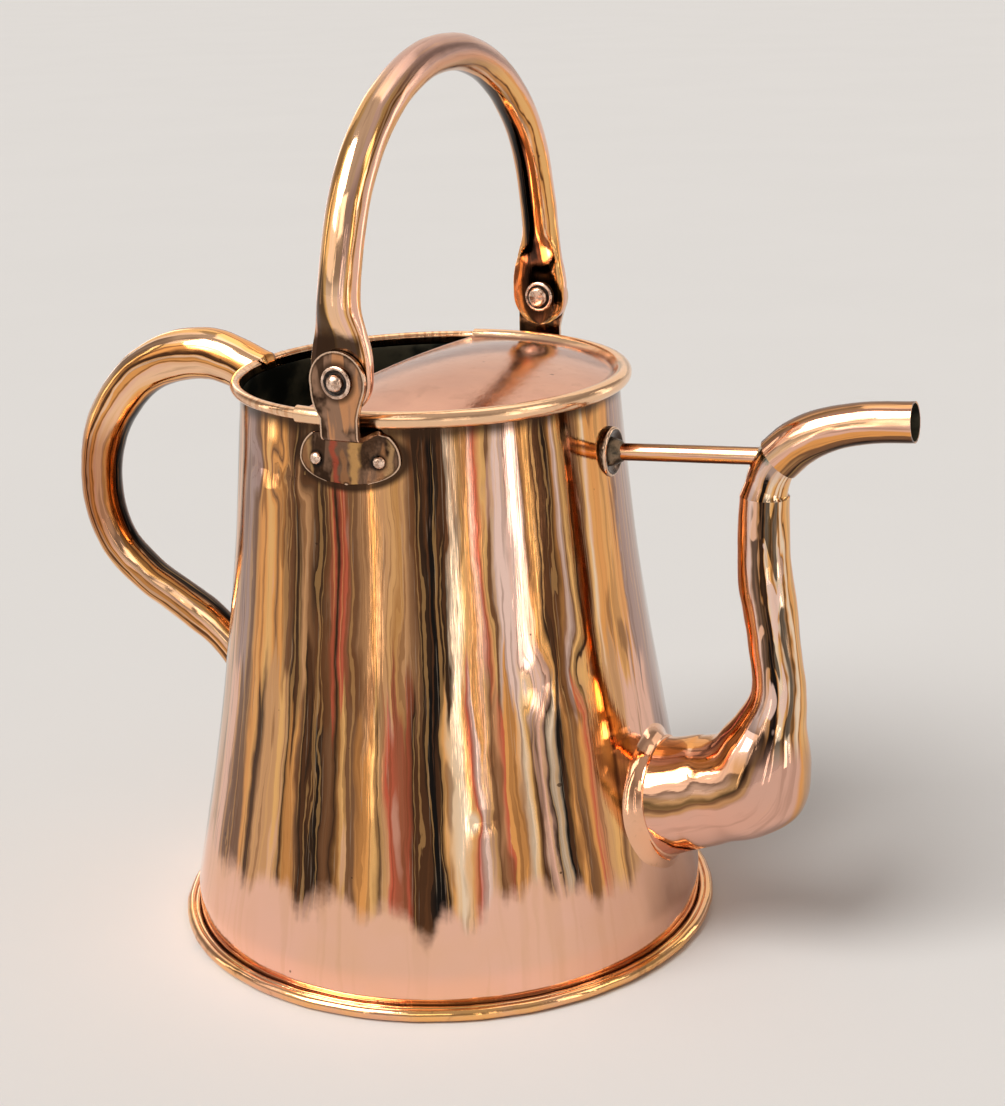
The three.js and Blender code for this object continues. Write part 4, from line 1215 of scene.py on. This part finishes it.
def make_ear(word):
    """One strip of sheet: a disc on a neck, bent in under the rim, bent down along the wall."""
    plate_rear = plate_edge(190, PIVOT_X - EAR_DISC_R, EAR_NECK_REAR[word])
    plate_front = plate_edge(-22, EAR_NECK_FRONT + 1, EAR_NECK_FRONT)
    flange_rear, flange_front = flange_edge(-1), flange_edge(1)
    bend, share = EAR_BEND_R, np.linspace(0, 1, 41)
    plate_y = EAR_OUTER_Y - EAR_THICK / 2
    web_z = (EAR_WEB_LOW + EAR_WEB_HIGH) / 2
    rows, thick = [], []

    def add_row(rear, front, y, z, thickness):
        x = rear + (front - rear) * share
        rows.append(np.stack([x, SIDES[word] * (y(x) if callable(y) else 0 * x + y), 0 * x + z], -1))
        thick.append(thickness)

    def flange_y(z, lift=0.0):
        radius = wall_radius(z) + GAP + EAR_FLANGE_THICK / 2 + lift
        return lambda x: np.sqrt(radius**2 - x**2)

    disc = PIVOT_Z + EAR_DISC_R * np.cos(np.linspace(0.03, 1.75, 26))
    for z in np.r_[disc, np.linspace(disc[-1] - 1.0, web_z + bend, 15)]:
        add_row(plate_rear(z), plate_front(z), plate_y, z, EAR_THICK)
    rear, front = plate_rear(web_z), plate_front(web_z)
    bends = np.radians(np.linspace(15, 90, 6))
    for turn in bends:
        add_row(rear, front, plate_y - bend + bend * math.cos(turn), web_z + bend - bend * math.sin(turn),
                EAR_THICK)
    for t in np.linspace(0.15, 0.85, 5):
        add_row(rear, front, lambda x: (plate_y - bend) * (1 - t) + (flange_y(web_z)(x) + bend) * t, web_z,
                EAR_WEB_THICK)
    for turn in bends:
        z = web_z - bend + bend * math.cos(turn)
        widen = (turn / (math.pi / 2)) ** 2
        add_row(rear + (flange_rear(z) - rear) * widen, front + (flange_front(z) - front) * widen,
                flange_y(z, bend * (1 - math.sin(turn))), z, EAR_FLANGE_THICK)
    for t in np.linspace(0.04, 1, 30):
        z = EAR_FLANGE_LOW + 0.02 + (web_z - bend - EAR_FLANGE_LOW) * math.cos(t * math.pi / 2)
        add_row(flange_rear(z), flange_front(z), flange_y(z), z, EAR_FLANGE_THICK)
    take(add_sheet(f"{word}_ear_plate", np.array(rows), np.array(thick), "brown"),
         "brown_copper", f"{word}_ear")


def add_sheet(name, grid, thick, finish):
    """A bent sheet with rounded edges from the grid of its middle surface."""
    normal = np.cross(np.gradient(grid, axis=0), np.gradient(grid, axis=1))
    normal = normal / np.maximum(np.linalg.norm(normal, axis=-1, keepdims=True), 1e-9)
    rows, columns = grid.shape[:2]
    grid = grid + (0.10 * lumps(grid, 6.0))[..., None] * normal
    half = (thick / 2)[:, None, None] * normal
    points = np.concatenate([(grid + half).reshape(-1, 3), (grid - half).reshape(-1, 3)])
    faces = grid_faces(rows, columns, columns_close=False)
    count = rows * columns
    faces += [tuple(count + k for k in reversed(face)) for face in faces]
    order = np.arange(count).reshape(rows, columns)
    border = np.r_[order[0], order[1:, -1], order[-1, -2::-1], order[-2:0:-1, 0]].tolist()
    for a, b in zip(border, border[1:] + border[:1]):
        faces.append((b, a, count + a, count + b))
    flat = grid.reshape(-1, 3)
    edge = np.linalg.norm(flat[:, None] - flat[border][None], axis=-1).min(axis=1)
    skin = np.zeros((len(points), 3))
    skin[:, 0] = np.r_[edge, edge]
    piece = add_mesh(name, points, faces, [finish], None, skin)
    bevel = piece.modifiers.new("edge", "BEVEL")
    bevel.width, bevel.segments = EAR_EDGE_R * MM, 2
    bevel.limit_method, bevel.angle_limit = "ANGLE", math.radians(50)
    return piece


def add_rivet(name, outline, at, out, steps, rough, lump):
    """A turned rivet whose surface is hammered by rough, in lumps of a size."""
    rings = turned_rings(outline, steps, at, out)
    rings = rings + (rough * lumps(rings, lump))[..., None] * np.array(out)
    return add_solid(name, rings, "rivet", crease=60)


def make_ear_rivets(word):
    """The two rivets that hold an ear's flange to the wall."""
    radius = float(wall_radius(EAR_RIVET_Z))
    slope = float(wall_radius(EAR_RIVET_Z + 1) - wall_radius(EAR_RIVET_Z - 1)) / 2
    back, face = -SHEET, GAP + EAR_FLANGE_THICK + 0.05
    outline = [[POLE, back - 1.4], [1.6, back - 1.2], [2.6, back - 0.4], [2.7, back - 0.1], [1.6, back],
               [1.6, face], [2.25, face], [2.45, face + 0.35], [2.3, face + 0.85], [1.8, face + 1.35],
               [1.0, face + 1.7], [POLE, face + 1.8]]
    for end, x in EAR_RIVET_X.items():
        at = np.array([x, SIDES[word] * math.sqrt(radius**2 - x**2), EAR_RIVET_Z])
        out = unit(np.array([at[0] / radius, at[1] / radius, -slope]))
        take(add_rivet(f"{word}_{end}_stud", outline, at, out, 28, 0.14, 1.5), "rivet_copper",
             f"{word}_{end}_ear_rivet")


def make_pivot(word):
    """The rivet that the bail hangs on, and the washers under its heads."""
    at, out = (PIVOT_X, 0, PIVOT_Z), (0, SIDES[word], 0)
    inner = BAIL_END_Y - BAIL_PLATE - GAP - WASHER_THICK - GAP
    outer = EAR_OUTER_Y + GAP + WASHER_THICK
    outline = [[POLE, inner - 1.6], [2.6, inner - 1.65], [3.7, inner - 1.4], [4.25, inner - 0.8],
               [4.3, inner], [PIVOT_SHANK_R, inner], [PIVOT_SHANK_R, outer - 0.4], [3.1, outer - 0.4],
               [3.35, outer + 0.2], [3.2, outer + 0.9], [2.7, outer + 1.6], [1.8, outer + 2.2],
               [0.9, outer + 2.45], [POLE, outer + 2.5]]
    pin = add_rivet(f"{word}_pivot_pin", outline, at, out, 36, 0.22, 1.9)
    take(pin, "rivet_copper", f"{word}_pivot_rivet")

    def washer(place, y, radius, raised, facing):
        """A washer from y on, its rim raised from a radius outwards on the side that it faces."""
        back, lip = (y, y + WASHER_THICK)[::facing]
        outline = [[PIVOT_HOLE_R, back], [radius - 0.3, back], [radius, back + 0.3 * facing],
                   [radius, lip - 0.45 * facing], [radius - 0.35, lip - 0.1 * facing], [radius - 0.9, lip],
                   [raised + 0.5, lip], [raised, lip - 0.3 * facing], [raised - 0.35, lip - 0.75 * facing],
                   [PIVOT_HOLE_R, lip - 0.8 * facing]]
        rings = turned_rings(outline, 48, at, out)
        faces = grid_faces(len(rings), 48, rows_close=True)
        groove = np.arange(len(faces)) // 48 >= 6
        take(add_mesh(f"{word}_{place}_ring", rings, faces, ["rivet", "dirt"], groove),
             "rivet_copper", f"{word}_{place}_washer")
    washer("outer", EAR_OUTER_Y + 0.15, OUTER_WASHER_R, 4.5, 1)
    washer("inner", inner + GAP, INNER_WASHER_R, 4.9, -1)


def make_bail():
    """The arched tube. Its ends flatten into plates that are dished on their inner side."""
    line = smooth_line([*BAIL_LINE, BAIL_TOP, *((-y, *rest) for y, *rest in BAIL_LINE[::-1])], 8)
    turn = np.linspace(0.10, math.pi / 2, 12)[:-1]
    foot = np.c_[0 * turn + BAIL_END_Y, -BAIL_END_R * np.cos(turn), BAIL_END_R * np.sin(turn),
                 0 * turn + BAIL_PLATE]
    line = np.vstack([foot, line, (foot * [-1, 1, 1, 1])[::-1]])
    along = unit(np.gradient(line[:, :2], axis=0))
    outward = np.c_[-along[:, 1], along[:, 0]]
    outward *= np.sign((outward * line[:, :2]).sum(axis=1))[:, None]
    y, h, half, thick = (column[:, None] for column in line.T)
    flat = np.where(abs(y) > 80, eased(h, 28, -18), 0)
    flat = flat * flat * (3 - 2 * flat)
    raised = 2.2 + 2.6 * eased(h, -8, 22)
    a = angles(BAIL_SIDES) + math.pi / BAIL_SIDES
    across, up = np.cos(a), np.sin(a)
    edge = np.minimum(1, np.abs(up) / 0.32) ** 0.55
    dished = (BAIL_PLATE + (raised - BAIL_PLATE) * np.abs(across) ** 3) * edge
    depth = flat * np.where(up > 0, BAIL_PLATE * edge, -dished) + (1 - flat) * thick * up
    rings = np.stack([half * across, y + depth * outward[:, :1], h + depth * outward[:, 1:]], axis=-1)
    skin = skin_of(rings)
    marks = hammered(17.0, 0.16)(rings, a) * eased(rings[..., 2], 20, 12)
    rings = rings + marks[..., None] * unit(rings - rings.mean(axis=1, keepdims=True))
    lean = np.array(Matrix.Rotation(BAIL_LEAN, 3, "Y"))
    rings = rings @ lean.T + np.array([PIVOT_X, 0, PIVOT_Z])
    rings[..., 2] = np.minimum(rings[..., 2], cad_box[1][2] / MM - 0.02)
    take(add_solid("bail_tube", rings, "bail", skin), "handle_copper", "bail", body="bail_handle")


# Stage
FLOOR_R = 80000
FLOOR_Z = -0.1
SKY = [
    (0.0, (0.63, 0.61, 0.59)), (0.10, (0.57, 0.55, 0.53)), (0.28, (0.27, 0.245, 0.225)),
    (0.50, (0.28, 0.25, 0.23)), (0.76, (0.44, 0.41, 0.38)), (1.0, (0.48, 0.44, 0.41)),
]
# Bright cards that only the metal reflects: azimuth to the right of the camera and elevation in degrees,
# distance, width and height in metres, and how bright each is
CARDS = [
    ("left_window", -58, 40, 1.9, 0.7, 0.9, 4.5),
    ("left_glow", -66, 36, 2.3, 2.2, 1.7, 0.75),
    ("rear_window", 178, 34, 2.2, 3.2, 1.7, 0.62),
    ("right_window", 64, 30, 2.2, 0.6, 1.0, 2.2),
    ("high_card", 150, 72, 2.0, 1.4, 1.0, 1.1),
    ("front_card", -18, 34, 2.2, 0.9, 0.7, 1.5),
    ("thin_card", 8, 2, 1.1, 0.035, 1.0, 2.2),
    ("second_thin_card", 17, 2, 1.1, 0.03, 1.0, 1.6),
    ("middle_card", 45, 4, 1.25, 0.12, 1.1, 2.4),
    ("second_middle_card", 56, 4, 1.25, 0.04, 1.1, 2.0),
    ("left_low_card", -34, 3, 1.2, 0.05, 1.0, 1.8),
    ("side_card", -105, 12, 1.6, 0.16, 1.2, 1.8),
    ("right_low_card", 112, 6, 1.6, 0.20, 1.2, 1.8),
    ("rear_low_card", -160, 8, 1.7, 0.20, 1.2, 1.8),
]
AIM = Vector((0, 0, 0.16))


def add_lamp(data, azimuth, elevation, distance):
    """A lamp round the can, facing it, that the camera doesn't see."""
    lamp = bpy.data.objects.new(data.name, data)
    bpy.context.scene.collection.objects.link(lamp)
    a = CAMERA_AZIMUTH - math.pi / 2 + math.radians(azimuth)
    e = math.radians(elevation)
    place = Vector((math.cos(a) * math.cos(e), math.sin(a) * math.cos(e), math.sin(e))) * distance
    lamp.location = place + AIM
    lamp.rotation_mode = "QUATERNION"
    lamp.rotation_quaternion = place.to_track_quat("Z", "Y")
    lamp.visible_camera = False
    return lamp


def make_stage():
    """The floor, the soft world and the lamps."""
    ring = turned_rings([[POLE, FLOOR_Z], [FLOOR_R, FLOOR_Z]], 96)
    add_mesh("floor", ring, grid_faces(2, 96), ["floor"])
    world = bpy.data.worlds.new("studio")
    bpy.context.scene.world = world
    world.use_nodes = True
    sky = Nodes(world.node_tree)
    height = sky.split(sky.node("ShaderNodeTexCoord", output="Generated"))[2]
    sky.join(sky.ramp(height, SKY, "EASE"), sky.tree.nodes["Background"].inputs["Color"])
    sun = bpy.data.lights.new("soft_sun", "SUN")
    sun.energy, sun.angle, sun.color = 2.35, math.radians(36), (1.0, 0.97, 0.93)
    add_lamp(sun, -62, 50, 3.0)
    for name, azimuth, elevation, distance, wide, tall, radiance in CARDS:
        data = bpy.data.lights.new(name, "AREA")
        data.shape, data.size, data.size_y = "RECTANGLE", wide, tall
        data.energy, data.color = radiance * math.pi * wide * tall, (1.0, 0.91, 0.80)
        add_lamp(data, azimuth, elevation, distance).visible_diffuse = False


make_camera()
FINISH = {
    "wall": wall_copper(),
    "foot": foot_copper(),
    "hood": hood_copper(),
    "neck": bright_copper("neck_copper", (0.92, 0.50, 0.30), CLEAN, BROWN, 0.30, 0.07).material,
    "handle": handle_copper(),
    "bail": bail_copper(),
    "spout": tube_copper("spout_copper", RISER_REFLECTION_BANDS, 0.2, 0.04, lower=ELBOW_REFLECTION_BANDS, split=(0.088, 0.102),
                         patches=0.85).material,
    "knuckle": knuckle_copper(),
    "nozzle": tube_copper("nozzle_copper", NOZZLE_REFLECTION_BANDS).material,
    "stay": tube_copper("stay_copper", NOZZLE_REFLECTION_BANDS, 0.4).material,
    "brown": brown_copper("brown_copper", (0.035, 0.019, 0.012), (0.36, 0.205, 0.13)),
    "flange": brown_copper("flange_copper", BLACK, (0.16, 0.10, 0.065)),
    "rivet": rivet_copper(),
    "inner": clouded("inner_copper", (34.0, 4.0, 0.6), (0.45, 0.62), (0.028, 0.033, 0.027),
                     (0.13, 0.12, 0.08), (0.25, 0.001), (0.32, 0.55), 0.75).material,
    "iron": clouded("iron_wire", (600.0, 4.0, 0.6), (0.4, 0.65), (0.10, 0.09, 0.085), (0.20, 0.09, 0.04),
                    (0.5, 0.0003), (0.45, 0.8), 0.8).material,
    "solder": clouded("solder", (160.0, 4.0, 0.6), (0.36, 0.64), (0.30, 0.27, 0.24), (0.62, 0.50, 0.42),
                      (0.35, 0.0006), (0.18, 0.42)).material,
    "braze": clouded("braze", (260.0, 4.0, 0.6), (0.36, 0.64), (0.04, 0.036, 0.028), (0.32, 0.23, 0.15),
                     (0.5, 0.0008), (0.3, 0.6), 0.85).material,
    "dirt": dirt(),
    "floor": floor_paint(),
}
make_body()
make_foot()
make_hood()
make_handle()
make_collar()
make_spout()
make_stay()
for word in SIDES:
    make_ear(word)
    make_ear_rivets(word)
    make_pivot(word)
make_bail()
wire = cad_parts["rim_wire"]
wire.data.materials.clear()
wire.data.materials.append(FINISH["iron"])
make_stage()
bpy.context.scene.view_settings.view_transform = "Standard"
